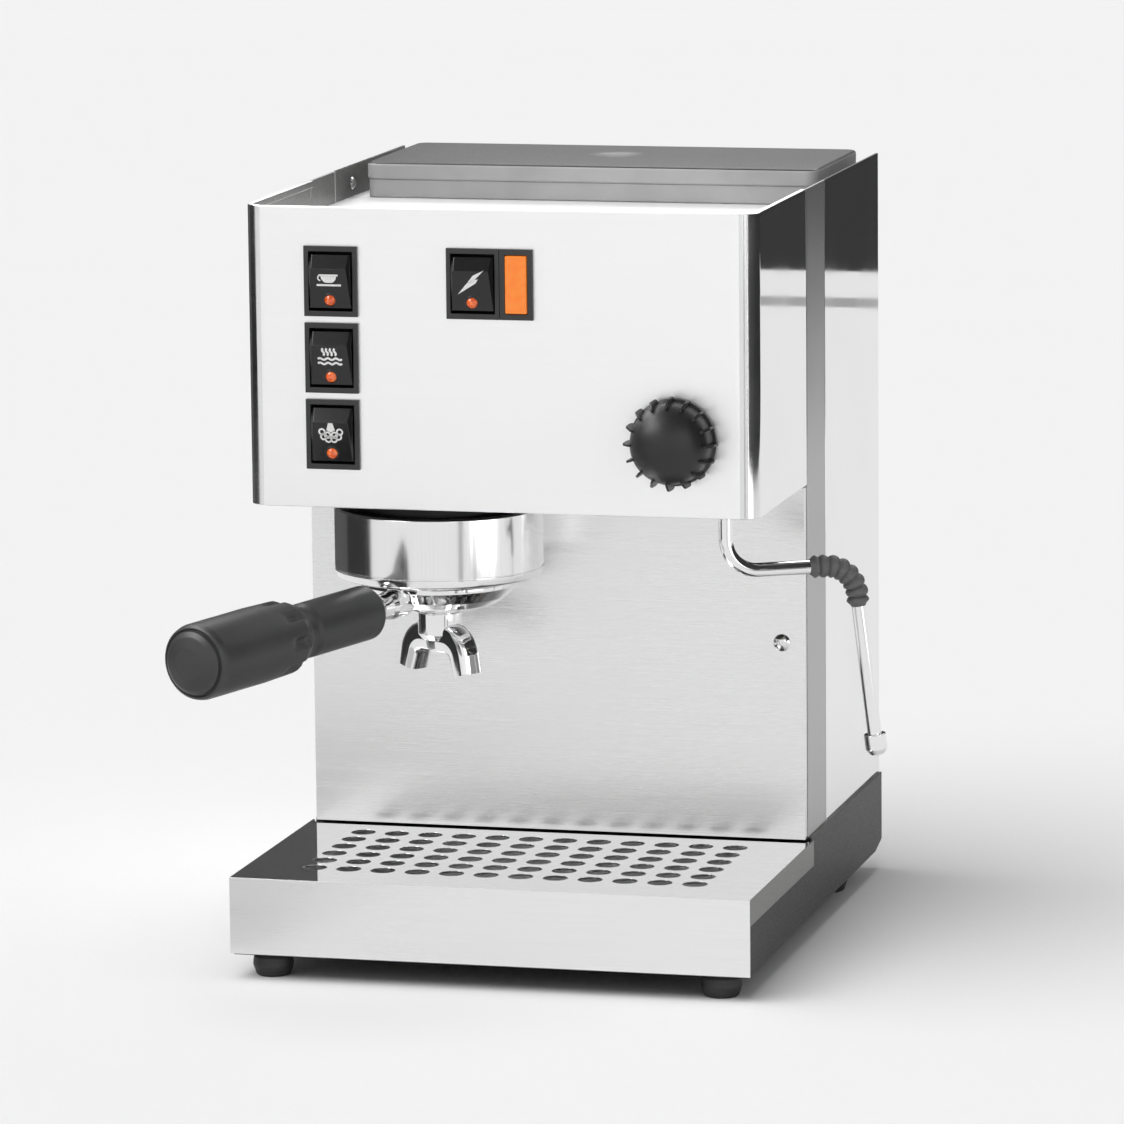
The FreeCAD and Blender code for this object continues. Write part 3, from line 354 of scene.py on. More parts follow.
def dress(obj, node, material, replaced, bevel, smooth):
    """Material, shading, edge rounding, the body that a piece rides with, and hiding of the nodes that it stands
    for.
    """
    bpy.context.scene.collection.objects.link(obj)
    mesh = obj.data
    mesh.materials.clear()
    mesh.materials.append(MATERIALS[material])
    mesh.shade_smooth()
    mesh.set_sharp_from_angle(angle=math.radians(smooth))
    if bevel:
        edge = obj.modifiers.new("edge_round", "BEVEL")
        edge.width = bevel * MM
        edge.segments = 3
        edge.limit_method = "ANGLE"
        edge.angle_limit = BEVEL_FROM_ANGLE
        edge.harden_normals = True
        edge.use_clamp_overlap = True
    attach(obj, BODY_OF[node])
    if replaced:
        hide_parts(*replaced)
    return obj


def softened(node, material, bevel):
    """A copy of a CAD node whose sharp edges are rounded, standing for that node."""
    bm = bmesh.new()
    bm.from_mesh(frame["nodes"][node].data)
    bmesh.ops.remove_doubles(bm, verts=bm.verts, dist=1e-6)
    bmesh.ops.dissolve_limit(bm, angle_limit=math.radians(0.5), verts=bm.verts, edges=bm.edges)
    bmesh.ops.scale(bm, vec=(1 / MM,) * 3, verts=bm.verts)
    skin = finish_piece(node + "_skin", bm, node, material, (node,), bevel)
    flat = skin.modifiers.new("flat_faces_stay_flat", "WEIGHTED_NORMAL")
    flat.weight = 100
    flat.keep_sharp = True
    return skin


def rounded_outline(points, radii, steps=6):
    """Closed 2-D outline with its corners rounded. radii is one number or one per point."""
    count = len(points)
    radii = radii if isinstance(radii, (list, tuple)) else [radii] * count
    result = []
    for i, radius in enumerate(radii):
        here = Vector(points[i])
        before, after = Vector(points[i - 1]), Vector(points[(i + 1) % count])
        into, away = (here - before), (after - here)
        reach = min(into.length, away.length) * 0.49
        into.normalize()
        away.normalize()
        turn = into.angle(away, 0.0)
        if radius <= 0 or turn < 0.02 or turn > math.pi - 0.02:
            result.append(here)
            continue
        setback = min(radius * math.tan(turn / 2), reach)
        start, end = here - into * setback, here + away * setback
        for k in range(steps + 1):
            t = k / steps
            result.append(start * (1 - t) ** 2 + here * 2 * t * (1 - t) + end * t ** 2)
    return result


def lathe(profile, segments=96, wave=None):
    """Surface of revolution about Z from a closed (radius, height) outline.

    wave(angle, radius, height) may return a changed radius.
    """
    bm = bmesh.new()
    rings = []
    for radius, height in profile:
        if radius < 1e-4:
            rings.append([bm.verts.new((0, 0, height))])
            continue
        ring = []
        for k in range(segments):
            angle = TAU * k / segments
            r = wave(angle, radius, height) if wave else radius
            ring.append(bm.verts.new((r * math.cos(angle), r * math.sin(angle), height)))
        rings.append(ring)
    for first, second in zip(rings, rings[1:] + rings[:1]):
        bridge(bm, first, second)
    return bm


def bridge(bm, first, second):
    """Faces between two rings of vertices; a ring of one vertex is a pole."""
    if len(first) == 1 and len(second) == 1:
        return
    count = max(len(first), len(second))
    for k in range(count):
        corners = [first[k % len(first)], first[(k + 1) % len(first)], second[(k + 1) % len(second)],
                   second[k % len(second)]]
        unique = list(dict.fromkeys(corners))
        if len(unique) > 2:
            bm.faces.new(unique)


def prism(outline, low, high, axis="z"):
    """Straight extrusion of a closed 2-D outline along Z, or along Y."""
    bm = bmesh.new()
    rings = [[bm.verts.new((p[0], level, p[1]) if axis == "y" else (p[0], p[1], level)) for p in outline]
             for level in (low, high)]
    bridge(bm, *rings)
    bm.faces.new(rings[0])
    bm.faces.new(rings[1])
    return bm


def tube_along(points, radius_at, segments=24, wall=0.0, side=None):
    """Sweep of a section along points; radius_at(i, angle) is its radius.

    Both ends are closed, unless there is a wall: then it is a pipe with an open far end.
    """
    bm = bmesh.new()
    points = [Vector(p) for p in points]
    tangents = []
    for i in range(len(points)):
        ahead = points[min(i + 1, len(points) - 1)] - points[max(i - 1, 0)]
        tangents.append(ahead.normalized())
    side = Vector(side) if side else tangents[0].orthogonal().normalized()
    outer, inner = [], []
    for i, (point, tangent) in enumerate(zip(points, tangents)):
        side = (side - tangent * side.dot(tangent)).normalized()
        up = tangent.cross(side)
        for rings, less in ((outer, 0.0), (inner, wall)):
            ring = []
            for k in range(segments if rings is outer or wall else 0):
                angle = TAU * k / segments
                r = radius_at(i, angle) - less
                ring.append(bm.verts.new(point + side * r * math.cos(angle) + up * r * math.sin(angle)))
            rings.append(ring)
    for first, second in zip(outer, outer[1:]):
        bridge(bm, first, second)
    bm.faces.new(outer[0])
    if wall:
        for first, second in zip(inner, inner[1:]):
            bridge(bm, first, second)
        bridge(bm, outer[-1], inner[-1])
        bm.faces.new(inner[0])
    else:
        bm.faces.new(outer[-1])
    return bm


def bent_path(points, bend, step=1.0):
    """Points along straight runs joined by tangent arcs."""
    points = [Vector(p) for p in points]
    path = [points[0]]
    for before, corner, after in zip(points, points[1:], points[2:]):
        into = (corner - before).normalized()
        away = (after - corner).normalized()
        turn = into.angle(away)
        setback = bend * math.tan(turn / 2)
        inward = (away - into).normalized()
        centre = corner + inward * (bend / math.cos(turn / 2))
        start = corner - into * setback - centre
        axis = into.cross(away).normalized()
        count = max(4, int(bend * turn / step))
        for k in range(count + 1):
            path.append(centre + Matrix.Rotation(turn * k / count, 3, axis) @ start)
    path.append(points[-1])
    dense = [path[0]]
    for a, b in zip(path, path[1:]):
        pieces = max(1, int((b - a).length / step))
        dense += [a.lerp(b, (k + 1) / pieces) for k in range(pieces)]
    return dense


def move(bm, matrix):
    """The same bmesh, transformed."""
    bmesh.ops.transform(bm, matrix=matrix, verts=bm.verts)
    return bm


def merged(*meshes):
    """One bmesh holding several."""
    whole = bmesh.new()
    for bm in meshes:
        mesh = bpy.data.meshes.new("part")
        bm.to_mesh(mesh)
        bm.free()
        whole.from_mesh(mesh)
        bpy.data.meshes.remove(mesh)
    return whole


def at(x, y, z):
    return Matrix.Translation((x, y, z))


# Casing ------------------------------------------------------------------------------------------
def paint_faces(obj, material, wanted):
    """Give the faces whose centre (mm) and normal pass the test a second material."""
    obj.data.materials.append(MATERIALS[material])
    index = len(obj.data.materials) - 1
    for face in obj.data.polygons:
        if wanted(face.center / MM, face.normal):
            face.material_index = index


SIDEWAYS = 0.96                 # a normal whose x is larger than this belongs to a side wall


def facing_in(place, normal):
    """True on the faces of the side walls that look at each other."""
    return abs(normal.x) > SIDEWAYS and place.x * normal.x < 0


def casing():
    """Rounded copies of the casing's nodes, with a second material where the finish changes and where light or
    shade is painted.
    """
    hood = softened("front_hood", "hood", 0.45)
    paint_faces(hood, "mirror", lambda place, normal: normal.x > SIDEWAYS)
    # inner faces of the hood's side walls take darker grey metal: painted shade
    paint_faces(hood, "flange_and_painted_light", facing_in)
    paint_faces(hood, "fold",
                lambda place, normal: 0.12 < abs(normal.x) <= SIDEWAYS and place.y < HOOD_LOW.y + 12)
    softened("hood_floor", "frame", 0.3)
    softened("splash_panel", "splash", 0.25)
    posts = softened("side_posts", "post", 0.4)
    panels = softened("side_panels", "mirror", 0.35)
    for upright in (posts, panels):
        # inner faces of posts and panels take darker grey metal: painted shade
        paint_faces(upright, "flange_and_painted_light", facing_in)
    for node, material, bevel in (("rear_panel", "sheet", 0.3), ("cup_tray", "tray", 0.3),
                                  ("tank_collar", "sheet", 0.3), ("drip_pan", "sheet", 0.4),
                                  ("power_inlet", "black", 0.4), ("tank_lid_frame", "lid", 0.5),
                                  ("case_screws", "polished", 0.15)):
        softened(node, material, bevel)

    base = softened("base_frame", "frame", 0.8)
    base_top = box_mm("base_frame")[1].z
    # top face of the black base's lip takes lighter grey metal: a painted highlight along the lit edge
    paint_faces(base, "flange_and_painted_light", lambda place, normal: place.z > base_top - 0.3 and normal.z > 0.9)

    cover = softened("drip_cover", "mirror", 0.35)
    paint_faces(cover, "apron", lambda place, normal: place.y < COVER_LOW.y + 1.2 and normal.y < -0.9)
    paint_faces(cover, "flange_and_painted_light",
                lambda place, normal: abs(place.x) > COVER_HIGH.x - 1.2 and abs(normal.x) > 0.9)

    lid = softened("tank_lid", "lid", 0.9)
    # upward faces keep the dark plastic; the front and sides take the light grey copy, which is painted light
    paint_faces(lid, "lid_top", lambda place, normal: place.z > LID_LOW.z + 2.0 and normal.z > 0.5)


FOOT_RADIUS, FOOT_TOP = 9.3, 11.0


def feet():
    """Four turned rubber feet at the corners of the feet's box."""
    low, high = box_mm("feet")
    radius = FOOT_RADIUS
    profile = [(0, low.z), (radius - 1.6, low.z), (radius, low.z + 5.0), (radius - 0.4, 8.6),
               (radius - 1.6, FOOT_TOP), (0, FOOT_TOP)]
    outline = rounded_outline(profile, [0, 1.6, 2.0, 1.0, 0.6, 0])
    for i, x in enumerate((low.x + radius, high.x - radius)):
        for j, y in enumerate((low.y + radius, high.y - radius)):
            foot = move(lathe(outline, 48), at(x, y, 0))
            finish_piece(f"foot_{i + 1}_{j + 1}", foot, "feet", "rubber", ("feet",))


# Switches ----------------------------------------------------------------------------------------
KEY_HALF_WIDTH, KEY_HALF_HEIGHT = 9.7, 12.0
# Height and y of the key's lower edge, ridge and upper edge
KEY_FACE = ((-KEY_HALF_HEIGHT, -118.9), (6.0, -122.6), (KEY_HALF_HEIGHT, -118.6))
FACE_HEIGHT = KEY_FACE[1][0] - KEY_FACE[0][0]
FACE_LEAN = KEY_FACE[1][1] - KEY_FACE[0][1]
FACE_SLOPE = math.atan2(-FACE_LEAN, FACE_HEIGHT)
ICON_RISE = 0.9
INK_SUNK, INK_PROUD = 0.02, 0.06
LED_DROP = 8.2


def key_mesh():
    """Rocker key about its hinge axis: sloped lower face, ridge, upper facet and chamfered flanks."""
    bm = bmesh.new()
    inner_half = (9.35, 8.0, 8.5)
    set_back = (0.25, 2.0, 0.9)
    back = ((12.0, -112.0), (4.0, -107.5), (-4.0, -107.5), (-12.0, -112.0))
    inner, outer, rear = {}, {}, {}
    for side in (-1, 1):
        inner[side] = [bm.verts.new((side * half, y, z)) for half, (z, y) in zip(inner_half, KEY_FACE)]
        outer[side] = [bm.verts.new((side * KEY_HALF_WIDTH, y + back_by, z)) for back_by, (z, y)
                       in zip(set_back, KEY_FACE)]
        rear[side] = [bm.verts.new((side * KEY_HALF_WIDTH, y, z)) for z, y in back]
    left, right = -1, 1
    for k in (0, 1):
        bm.faces.new((inner[left][k], inner[right][k], inner[right][k + 1], inner[left][k + 1]))
        for side in (-1, 1):
            bm.faces.new((inner[side][k], inner[side][k + 1], outer[side][k + 1], outer[side][k]))
    for side in (-1, 1):
        bm.faces.new(outer[side] + rear[side])
    for front, back_row in ((2, 0), (0, 3)):
        bm.faces.new((inner[left][front], inner[right][front], outer[right][front], rear[right][back_row],
                      rear[left][back_row], outer[left][front]))
    for k in range(3):
        bm.faces.new((rear[left][k], rear[right][k], rear[right][k + 1], rear[left][k + 1]))
    return bm


def on_key_face(x, z):
    """Matrix from the icon plane (u right, v up, w out) to the lower face of the key at x, z."""
    rise = z + ICON_RISE
    y = KEY_FACE[0][1] + (ICON_RISE - KEY_FACE[0][0]) * FACE_LEAN / FACE_HEIGHT
    up = Vector((0, -math.sin(FACE_SLOPE), math.cos(FACE_SLOPE)))
    out = Vector((0, -math.cos(FACE_SLOPE), -math.sin(FACE_SLOPE)))
    turn = Matrix((Vector((1, 0, 0)), up, out)).transposed().to_4x4()
    return at(x, y, rise) @ turn


def plate(points):
    """Thin printed shape in the icon plane."""
    return prism(points, -INK_SUNK, INK_PROUD)


def bar(u0, v0, u1, v1):
    """Printed rectangle."""
    return plate([(u0, v0), (u1, v0), (u1, v1), (u0, v1)])


def stroke(points, width):
    """Ribbon of one width along 2-D points."""
    left, right = [], []
    points = [Vector(point) for point in points]
    for i, point in enumerate(points):
        along = (points[min(i + 1, len(points) - 1)] - points[max(i - 1, 0)]).normalized()
        across = Vector((-along.y, along.x)) * (width / 2)
        left.append(point + across)
        right.append(point - across)
    return plate(left + right[::-1])


def hoop(u, v, radius, width, start=0.0, end=TAU):
    """Ribbon along an arc."""
    steps = 20
    angles = [start + (end - start) * k / steps for k in range(steps + 1)]
    return stroke([(u + radius * math.cos(angle), v + radius * math.sin(angle)) for angle in angles], width)


def wave_line(u0, u1, v, swing, turns, upright=False):
    """Points of a sine wave along u, or along v when upright."""
    steps = 24
    points = [(u0 + (u1 - u0) * k / steps, v + swing * math.sin(TAU * turns * k / steps))
              for k in range(steps + 1)]
    return [(b, a) for a, b in points] if upright else points


def icon_coffee():
    cup = plate([(-3.6, 1.8), (3.6, 1.8), (3.3, 0.4), (2.3, -0.8), (1.3, -1.2), (-1.3, -1.2), (-2.3, -0.8),
                 (-3.3, 0.4)])
    return [bar(-4.4, 1.9, 4.4, 2.7), cup, hoop(-3.7, 1.0, 1.2, 0.6, math.radians(105), math.radians(265)),
            bar(-5.6, -2.8, 5.6, -1.9)]


def icon_water():
    rising = [stroke(wave_line(0.6, 4.0, u, 0.45, 1.0, True), 0.95) for u in (-2.9, -1.1, 0.7, 2.5)]
    surface = [stroke(wave_line(-5.6, 5.6, v, 0.4, 3.0), 0.95) for v in (-1.0, -3.1)]
    return rising + surface


def icon_steam():
    jet = plate([(-1.0, 4.9), (1.0, 4.9), (2.0, 1.5), (0.0, 0.5), (-2.0, 1.5)])
    one_side = ((4.1, 0.7), (3.4, -1.6), (1.3, -2.8), (1.6, -0.8))
    return [jet] + [hoop(side * u, v, 1.3, 0.8) for side in (-1, 1) for u, v in one_side]


def icon_power():
    upper = plate([(6.2, 5.8), (1.6, 1.2), (-0.9, -0.1), (-1.3, 0.5), (1.2, 3.4)])
    lower = plate([(3.4, 1.7), (2.2, -0.2), (-6.4, -5.6), (-1.6, 0.0), (1.0, 1.2)])
    return [upper, lower]


ICONS = {"coffee": icon_coffee, "water": icon_water, "steam": icon_steam, "power": icon_power}


def switches():
    """A key with a rim round its light and an icon for each rocker, the bezels and the pilot lamp."""
    for name, draw in ICONS.items():
        rocker = f"rocker_{name}"
        low, high = box_mm(rocker)
        x, z = (low.x + high.x) / 2, (low.z + high.z) / 2
        rim = lathe(rounded_outline([(2.55, 0.0), (3.3, 0.0), (3.1, 0.35), (2.65, 0.45)], 0.1), 40)
        lamp_y = KEY_FACE[0][1] + (KEY_HALF_HEIGHT - LED_DROP) * FACE_LEAN / FACE_HEIGHT
        move(rim, at(0, lamp_y + 0.1, -LED_DROP) @ Matrix.Rotation(math.pi / 2 + FACE_SLOPE, 4, "X"))
        key = move(merged(key_mesh(), rim), at(x, 0, z))
        finish_piece(f"key_{name}", key, rocker, "key", (rocker,), 0.3, 30)
        finish_piece(f"icon_{name}", move(merged(*draw()), on_key_face(x, z)), rocker, "ink")
    softened("switch_bezels", "bezel", 0.45)
    softened("lamp_lens", "lamp", 0.6)


# Steam knob and wand -----------------------------------------------------------------------------
KNOB_RIBS = 16
RIB_HALF_THICKNESS = 0.55


def knob():
    """Domed knob with thin ribs round it."""
    depth = KNOB_HIGH.y - KNOB_LOW.y
    rim = (KNOB_HIGH.x - KNOB_LOW.x) / 2
    core = rim - 2.8
    shoulder = 8.0
    dome = [(core * math.cos(t), shoulder + (depth - shoulder) * math.sin(t))
            for t in (math.pi / 2 * k / 24 for k in range(25))]
    skirt = [(0, 0), (rim - 1.5, 0), (rim - 1.2, 2.0), (core + 0.4, 3.2)]
    parts = [lathe(skirt + dome[:-1] + [(0, depth)], 96)]
    rib_outline = rounded_outline([(core - 2.0, 1.4), (rim - 0.6, 1.4), (rim, 3.6), (rim - 0.1, 11.5),
                                   (core - 0.6, 15.5), (core - 3.0, 14.0)], [0, 0.8, 2.0, 3.0, 1.2, 0])
    for k in range(KNOB_RIBS):
        rib = prism(rib_outline, -RIB_HALF_THICKNESS, RIB_HALF_THICKNESS, "y")
        parts.append(move(rib, Matrix.Rotation(TAU * k / KNOB_RIBS, 4, "Z")))
    place = at((KNOB_LOW.x + KNOB_HIGH.x) / 2, KNOB_HIGH.y, (KNOB_LOW.z + KNOB_HIGH.z) / 2)
    whole = move(merged(*parts), place @ Matrix.Rotation(math.pi / 2, 4, "X"))
    finish_piece("steam_knob_skin", whole, "steam_knob", "knob", ("steam_knob",), 0.2, 40)


WAND_LEVEL, NOZZLE_LEVEL = 183.0, 104.0
WAND_HEADING = math.radians(30.0)
WAND_REACH, NOZZLE_REACH = 60.0, 70.0
GRIP_BEFORE, GRIP_AFTER, GRIP_BEND = 21.0, 19.0, 15.0
GRIP_LUMPS = 8


def wand():
    """Lumpy rubber grip over the second bend of the steam pipe, and the nozzle's skin."""
    elbow = Vector((WAND.x, WAND.y, WAND_LEVEL))
    heading = Vector((math.cos(WAND_HEADING), math.sin(WAND_HEADING), 0))
    bend = elbow + heading * WAND_REACH
    tip = elbow + heading * NOZZLE_REACH
    tip.z = NOZZLE_LEVEL
    down = (tip - bend).normalized()
    path = bent_path([bend - heading * GRIP_BEFORE, bend, bend + down * GRIP_AFTER], GRIP_BEND, 0.4)
    count = len(path)

    def radius(i, _angle):
        along = i / (count - 1)
        ends = min(1.0, along * 14, (1 - along) * 14)
        return 3.3 + ends * (0.3 + 1.6 * abs(math.sin(math.pi * GRIP_LUMPS * along)) ** 0.6)

    grip = tube_along(path, radius, 40)
    finish_piece("wand_bellows", grip, "wand_grip", "grip", ("wand_grip",), smooth=60)
    softened("wand_nozzle", "chrome", 0.4)


# Group and portafilter ---------------------------------------------------------------------------
BELL_MOUTH, NOTCH_REACH = 35.4, 41.0
BELL_SIDE_TOP = 206.8
NOTCH_HEADING = HANDLE_HEADING + math.radians(45)
NOTCH_HALF_ANGLE = math.radians(17.5)
LUG_HALF_DEGREES = 14
SPOUT_HEADING = HANDLE_HEADING + math.radians(-14)


def bell():
    """Bell with a fine groove above its rounded lower edge, two notches inside, and a neck painted near black as
    shade in the gap under the hood.
    """
    bottom, top = BELL_LOW.z, BELL_HIGH.z
    side = BELL_HIGH.x - GROUP.x
    lower_edge = [(BELL_MOUTH, bottom), (side - 3.6, bottom), (side - 0.9, bottom + 1.2),
                  (side, bottom + 4.0)]
    groove = [(side, bottom + 4.6), (side - 0.45, bottom + 4.8), (side - 0.45, bottom + 5.3),
              (side, bottom + 5.5)]
    shoulder = [(side, BELL_SIDE_TOP - 1), (side - 1, BELL_SIDE_TOP)]
    neck = [(40.0, BELL_SIDE_TOP), (40.0, top), (8.0, top), (8.0, 199.0)]
    inside = [(26.0, 199.0), (26.0, 195.0), (36.5, 195.0), (36.5, 186.0), (41.8, 186.0),
              (41.8, bottom + 4.0), (BELL_MOUTH, bottom + 4.0)]
    radii = [0, 1.6, 1.6, 2.4, 0, 0.1, 0.1, 0, 0.6, 0.6] + [0] * (len(neck) + len(inside))
    outline = rounded_outline(lower_edge + groove + shoulder + neck + inside, radii, 8)

    def notched(angle, radius, height):
        if radius > BELL_MOUTH + 0.1:
            return radius
        off = (angle - NOTCH_HEADING) % math.pi
        return NOTCH_REACH if min(off, math.pi - off) < NOTCH_HALF_ANGLE else radius

    turned = move(lathe(outline, 240, notched), at(GROUP.x, GROUP.y, 0))
    skin = finish_piece("bell", turned, "group_head", "bell", ("group_head",))
    # faces above the bell's side go near black: painted shade under the hood
    paint_faces(skin, "neck_painted_shade", lambda place, normal: place.z > BELL_SIDE_TOP - 0.05)


def portafilter():
    """Bowl with a rolled lip, two lugs, and the neck that the handle screws on to."""
    cup = [(0, 163.6), (26.6, 163.6), (30.4, 171.5), (30.4, 185.0), (34.4, 185.0)]
    lip = [(34.9, 173.4), (36.4, 172.8), (36.4, 170.6), (35.0, 168.9)]
    belly = [(32.0, 165.4), (27.0, 162.0), (20.0, 159.8), (12.0, 158.6)]
    stub = [(9.0, 158.2), (9.0, 153.6), (0, 153.6)]
    radii = [0, 3, 4, 0.4, 0.4] + [0.5, 1.0, 1.0, 1.0] + [4, 5, 5, 3] + [1, 0.5, 0]
    parts = [lathe(rounded_outline(cup + lip + belly + stub, radii, 8), 192)]
    for side in (0.0, math.pi):
        arc = [math.radians(LUG_HALF_DEGREES * (k - 5) / 5) for k in range(11)]
        lug = prism([(40.5 * math.cos(a), 40.5 * math.sin(a)) for a in arc]
                    + [(33.0 * math.cos(a), 33.0 * math.sin(a)) for a in reversed(arc)], 178.5, 182.3)
        parts.append(move(lug, Matrix.Rotation(math.pi / 2 + side, 4, "Z")))
    neck_profile = [(0, 29.0), (6.7, 29.0), (6.7, 40.0), (6.1, 43.0), (6.1, 50.0), (6.75, 51.5),
                    (6.75, 57.2), (0, 57.2)]
    neck = lathe(rounded_outline(neck_profile, [0, 0, 2, 2, 1, 0.5, 0.5, 0]), 72)
    droop = Matrix.Rotation(math.pi / 2 + HANDLE_DROOP, 4, "Y")
    parts.append(move(neck, at(0, 0, HANDLE_LEVEL) @ droop))
    whole = move(merged(*parts), at(GROUP.x, GROUP.y, 0) @ Matrix.Rotation(HANDLE_HEADING, 4, "Z"))
    finish_piece("portafilter_bowl", whole, "portafilter_body", "chrome", ("portafilter_body",), smooth=40)


SPOUT_HALF_WIDTH = 5.95
SPOUT_HALF_DEPTH, SPOUT_NARROWING = 7.4, 2.4
SQUARENESS = 3.4                # exponent of the section's outline: 2 is an ellipse, more is squarer


def spout():
    """Nut with two open arms whose section is nearly square."""
    nut = [(0, 144.6), (8.2, 144.6), (10.2, 147.2), (10.2, 157.2), (9.3, 157.2), (9.3, 153.3), (0, 153.3)]
    parts = [lathe(rounded_outline(nut, [0, 0.8, 1.0, 0.6, 0.2, 0, 0]), 96)]
    taper_steps = 60

    def section(i, angle):
        half_depth = SPOUT_HALF_DEPTH - SPOUT_NARROWING * min(1.0, i / taper_steps)
        return ((abs(math.cos(angle)) / SPOUT_HALF_WIDTH) ** SQUARENESS
                + (abs(math.sin(angle)) / half_depth) ** SQUARENESS) ** (-1 / SQUARENESS)

    for side in (-1, 1):
        corners = [(0, side * 3.0, 145.6), (0, side * 15.2, 145.2), (0, side * 19.0, 130.1)]
        path = bent_path(corners, 10.0, 0.5)
        parts.append(tube_along(path, section, 64, 1.2, (1, 0, 0)))
    whole = move(merged(*parts), at(GROUP.x, GROUP.y, 0) @ Matrix.Rotation(SPOUT_HEADING, 4, "Z"))
    finish_piece("spout_arms", whole, "spout", "chrome", ("spout",), smooth=40)


SCALLOPS, SCALLOP_DEPTH = 8, 3.0
SCALLOP_PLACE, SCALLOP_SPREAD = 124.0, 8.0      # along the handle, from the group axis


def handle():
    """Turned grip: slim front, scalloped shoulder, full rear with a grooved domed end."""
    front = [(0, 57.4), (11.2, 57.4), (12.4, 59.4), (12.4, 105.0), (11.4, 108.0)]
    step = [(11.6, 112.0), (15.2, 118.0), (16.6, 122.0), (17.1, 142.0)]
    rear = [(17.0, 181.0), (16.4, 183.6), (15.3, 184.7), (14.8, 184.0), (14.2, 184.0)]
    end = [(13.9, 185.6), (12.0, 187.2), (7.0, 188.7), (0, 189.2)]
    radii = [0, 1.6, 1.2, 3, 2] + [4, 3, 6, 10] + [2.0, 1.5, 0.5, 0.2, 0.2] + [0.8, 3, 6, 0]
    outline = rounded_outline(front + step + rear + end, radii)
    fine = [outline[0]]
    for a, b in zip(outline, outline[1:]):
        pieces = max(1, int((b - a).length / 1.0)) if 108 < (a.y + b.y) / 2 < 142 else 1
        fine += [a.lerp(b, (k + 1) / pieces) for k in range(pieces)]

    def scallops(angle, radius, along):
        swell = math.exp(-((along - SCALLOP_PLACE) / SCALLOP_SPREAD) ** 4)
        return radius - SCALLOP_DEPTH * swell * max(0.0, math.cos(SCALLOPS * angle)) ** 0.8

    turn = Matrix.Rotation(HANDLE_HEADING, 4, "Z") @ Matrix.Rotation(math.pi / 2 + HANDLE_DROOP, 4, "Y")
    grip = move(lathe(fine, 160, scallops), at(GROUP.x, GROUP.y, HANDLE_LEVEL) @ turn)
    finish_piece("handle_grip", grip, "handle", "handle", ("handle", "handle_cap"), smooth=50)


# Camera, light, floor ----------------------------------------------------------------------------
CAMERA_PLACE = Vector((759.5, -2959.0, 675.6))
FLOOR_HALF = 14.0               # metres, like every place in the studio below
REFLECTED_STRIP_LEVEL = 0.002
OVERHEAD_LEVEL = 0.9


def camera():
    """Long lens from the front, 14 degrees to the machine's right, looking 10 degrees down."""
    azimuth, elevation, roll = math.radians(14.38), math.radians(9.59), math.radians(-0.56)
    ahead = Vector((-math.sin(azimuth) * math.cos(elevation), math.cos(azimuth) * math.cos(elevation),
                    -math.sin(elevation)))
    right = Vector((math.cos(azimuth), math.sin(azimuth), 0))
    up = right.cross(ahead)
    level_right = right * math.cos(roll) + up * math.sin(roll)
    level_up = up * math.cos(roll) - right * math.sin(roll)
    data = bpy.data.cameras.new("camera")
    data.sensor_width = 36.0
    data.lens = 213.8
    data.shift_x = -0.0053
    data.shift_y = 0.0206
    data.clip_end = 50.0
    cam = bpy.data.objects.new("camera", data)
    turn = Matrix((level_right, level_up, -ahead)).transposed()
    cam.matrix_world = Matrix.Translation(CAMERA_PLACE * MM) @ turn.to_4x4()
    bpy.context.scene.collection.objects.link(cam)
    bpy.context.scene.camera = cam


def flat_object(name, corners, material):
    """One-face stage object."""
    mesh = bpy.data.meshes.new(name)
    mesh.from_pydata([Vector(c) for c in corners], [], [tuple(range(len(corners)))])
    mesh.materials.append(material)
    obj = bpy.data.objects.new(name, mesh)
    bpy.context.scene.collection.objects.link(obj)
    return obj


def card(name, start, end, low, high, material):
    """Upright studio card between two floor points, which only reflections see."""
    obj = flat_object(name, [(*start, low), (*end, low), (*end, high), (*start, high)], material)
    only_in_reflections(obj)


def level_card(name, x0, x1, y0, y1, level, material):
    """Level studio card, which only reflections see."""
    obj = flat_object(name, [(x0, y0, level), (x1, y0, level), (x1, y1, level), (x0, y1, level)], material)
    only_in_reflections(obj)


def only_in_reflections(obj):
    obj.visible_camera = False
    obj.visible_diffuse = False
    obj.visible_transmission = False
    obj.visible_shadow = False


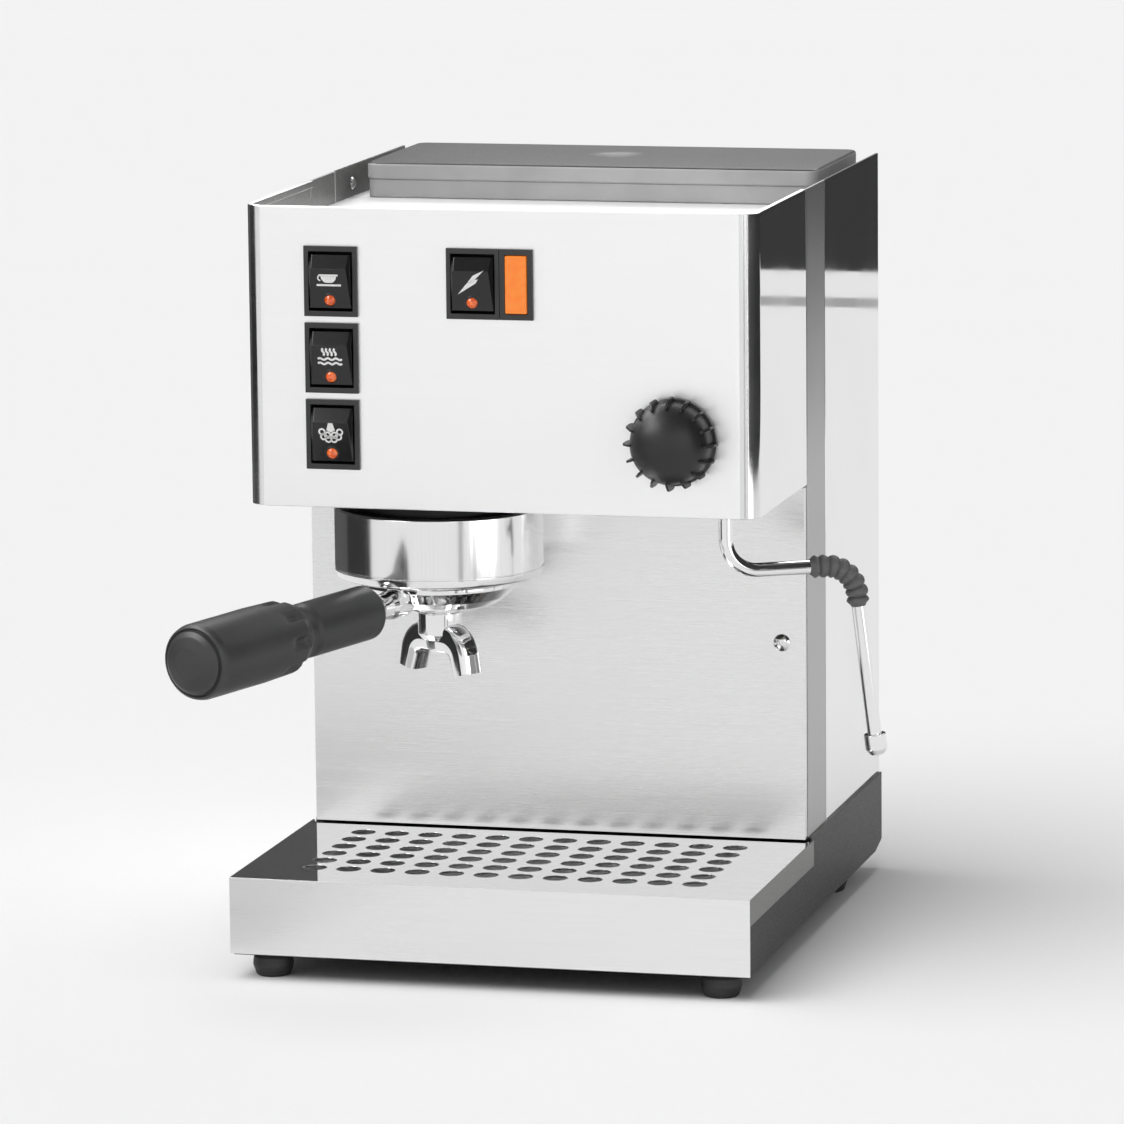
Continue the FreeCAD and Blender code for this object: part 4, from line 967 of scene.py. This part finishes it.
def studio():
    """Floor, cards that shape the reflections in the metal, sun and world."""
    half = FLOOR_HALF
    flat_object("floor", [(-half, -half, 0), (half, -half, 0), (half, half, 0), (-half, half, 0)],
                studio_paper("floor_paper", 0.90))
    dark = studio_paper("flag_cloth", 0.05)
    grey = studio_paper("flag_grey", 0.40)
    card("flag_rear", (-0.3, 2.49), (4.0, 2.49), 0.0, 2.0, dark)
    card("flag_right", (0.30, -0.25), (0.30, 0.35), 0.2, 0.6, dark)
    card("flag_left", (-0.75, -0.42), (-0.75, 0.10), 0.0, 0.9, dark)
    card("flag_left_rear", (-0.75, 0.10), (-0.35, 0.9), 0.0, 0.9, studio_paper("flag_dim", 0.14))
    card("flag_thin_1", (0.50, -0.80), (0.55, -0.76), 0.0, 0.8, grey)
    card("flag_thin_2", (0.66, -0.62), (0.69, -0.57), 0.0, 0.8, grey)
    level_card("strip_rear", 0.2, 1.6, 2.24, 2.30, REFLECTED_STRIP_LEVEL, grey)
    level_card("strip_front", -0.7, -0.12, -0.46, -0.2, REFLECTED_STRIP_LEVEL,
               studio_paper("flag_pale", 0.58))
    card("softbox_right", (1.1, -1.1), (0.7, -1.5), 0.2, 1.3, glow_card("softbox", 1.8))
    card("softbox_key", (1.2, -0.3), (1.0, -0.95), 0.0, 1.0, glow_card("softbox_side", 2.6))
    card("softbox_front", (-2.6, -3.4), (1.6, -3.4), 0.0, 2.3, glow_card("front_wall", 1.0))
    card("softbox_rear", (-0.7, 0.9), (1.0, 0.9), 0.75, 1.6, glow_card("softbox_back", 4.0))
    level_card("softbox_over", -1.1, -0.35, -0.9, 0.3, OVERHEAD_LEVEL, glow_card("softbox_top", 7.0))

    sun = bpy.data.lights.new("sun", "SUN")
    sun.energy = 2.32
    sun.angle = math.radians(60)
    light = bpy.data.objects.new("sun", sun)
    light.rotation_mode = "QUATERNION"
    light.rotation_quaternion = Vector((0.35, 0.35, -1.0)).to_track_quat("-Z", "Y")
    light.visible_glossy = False
    bpy.context.scene.collection.objects.link(light)

    world = bpy.data.worlds.new("studio")
    bpy.context.scene.world = world
    world.use_nodes = True
    tree = world.node_tree
    direction = tree.nodes.new("ShaderNodeTexCoord").outputs["Generated"]
    split = tree.nodes.new("ShaderNodeSeparateXYZ")
    tree.links.new(direction, split.inputs[0])
    height = tree.nodes.new("ShaderNodeValToRGB")
    tree.links.new(split.outputs["Z"], height.inputs["Fac"])
    stops = ((0.0, 0.25), (0.3, 0.5), (0.55, 0.6), (0.75, 0.25), (1.0, 0.15))
    for k, (place, tone) in enumerate(stops):
        element = height.color_ramp.elements[k] if k < 2 else height.color_ramp.elements.new(place)
        element.position = place
        element.color = (tone, tone, tone, 1.0)
    background = tree.nodes["Background"]
    tree.links.new(height.outputs["Color"], background.inputs["Color"])
    background.inputs["Strength"].default_value = 0.95
    bpy.context.scene.view_settings.view_transform = "Standard"


# Put together ------------------------------------------------------------------------------------
for node, obj in frame["nodes"].items():
    obj.data.materials.clear()
    obj.data.materials.append(MATERIALS[MATERIAL_OF_SLOT[SLOT_OF[node]]])

camera()
studio()
casing()
feet()
switches()
knob()
wand()
bell()
portafilter()
spout()
handle()
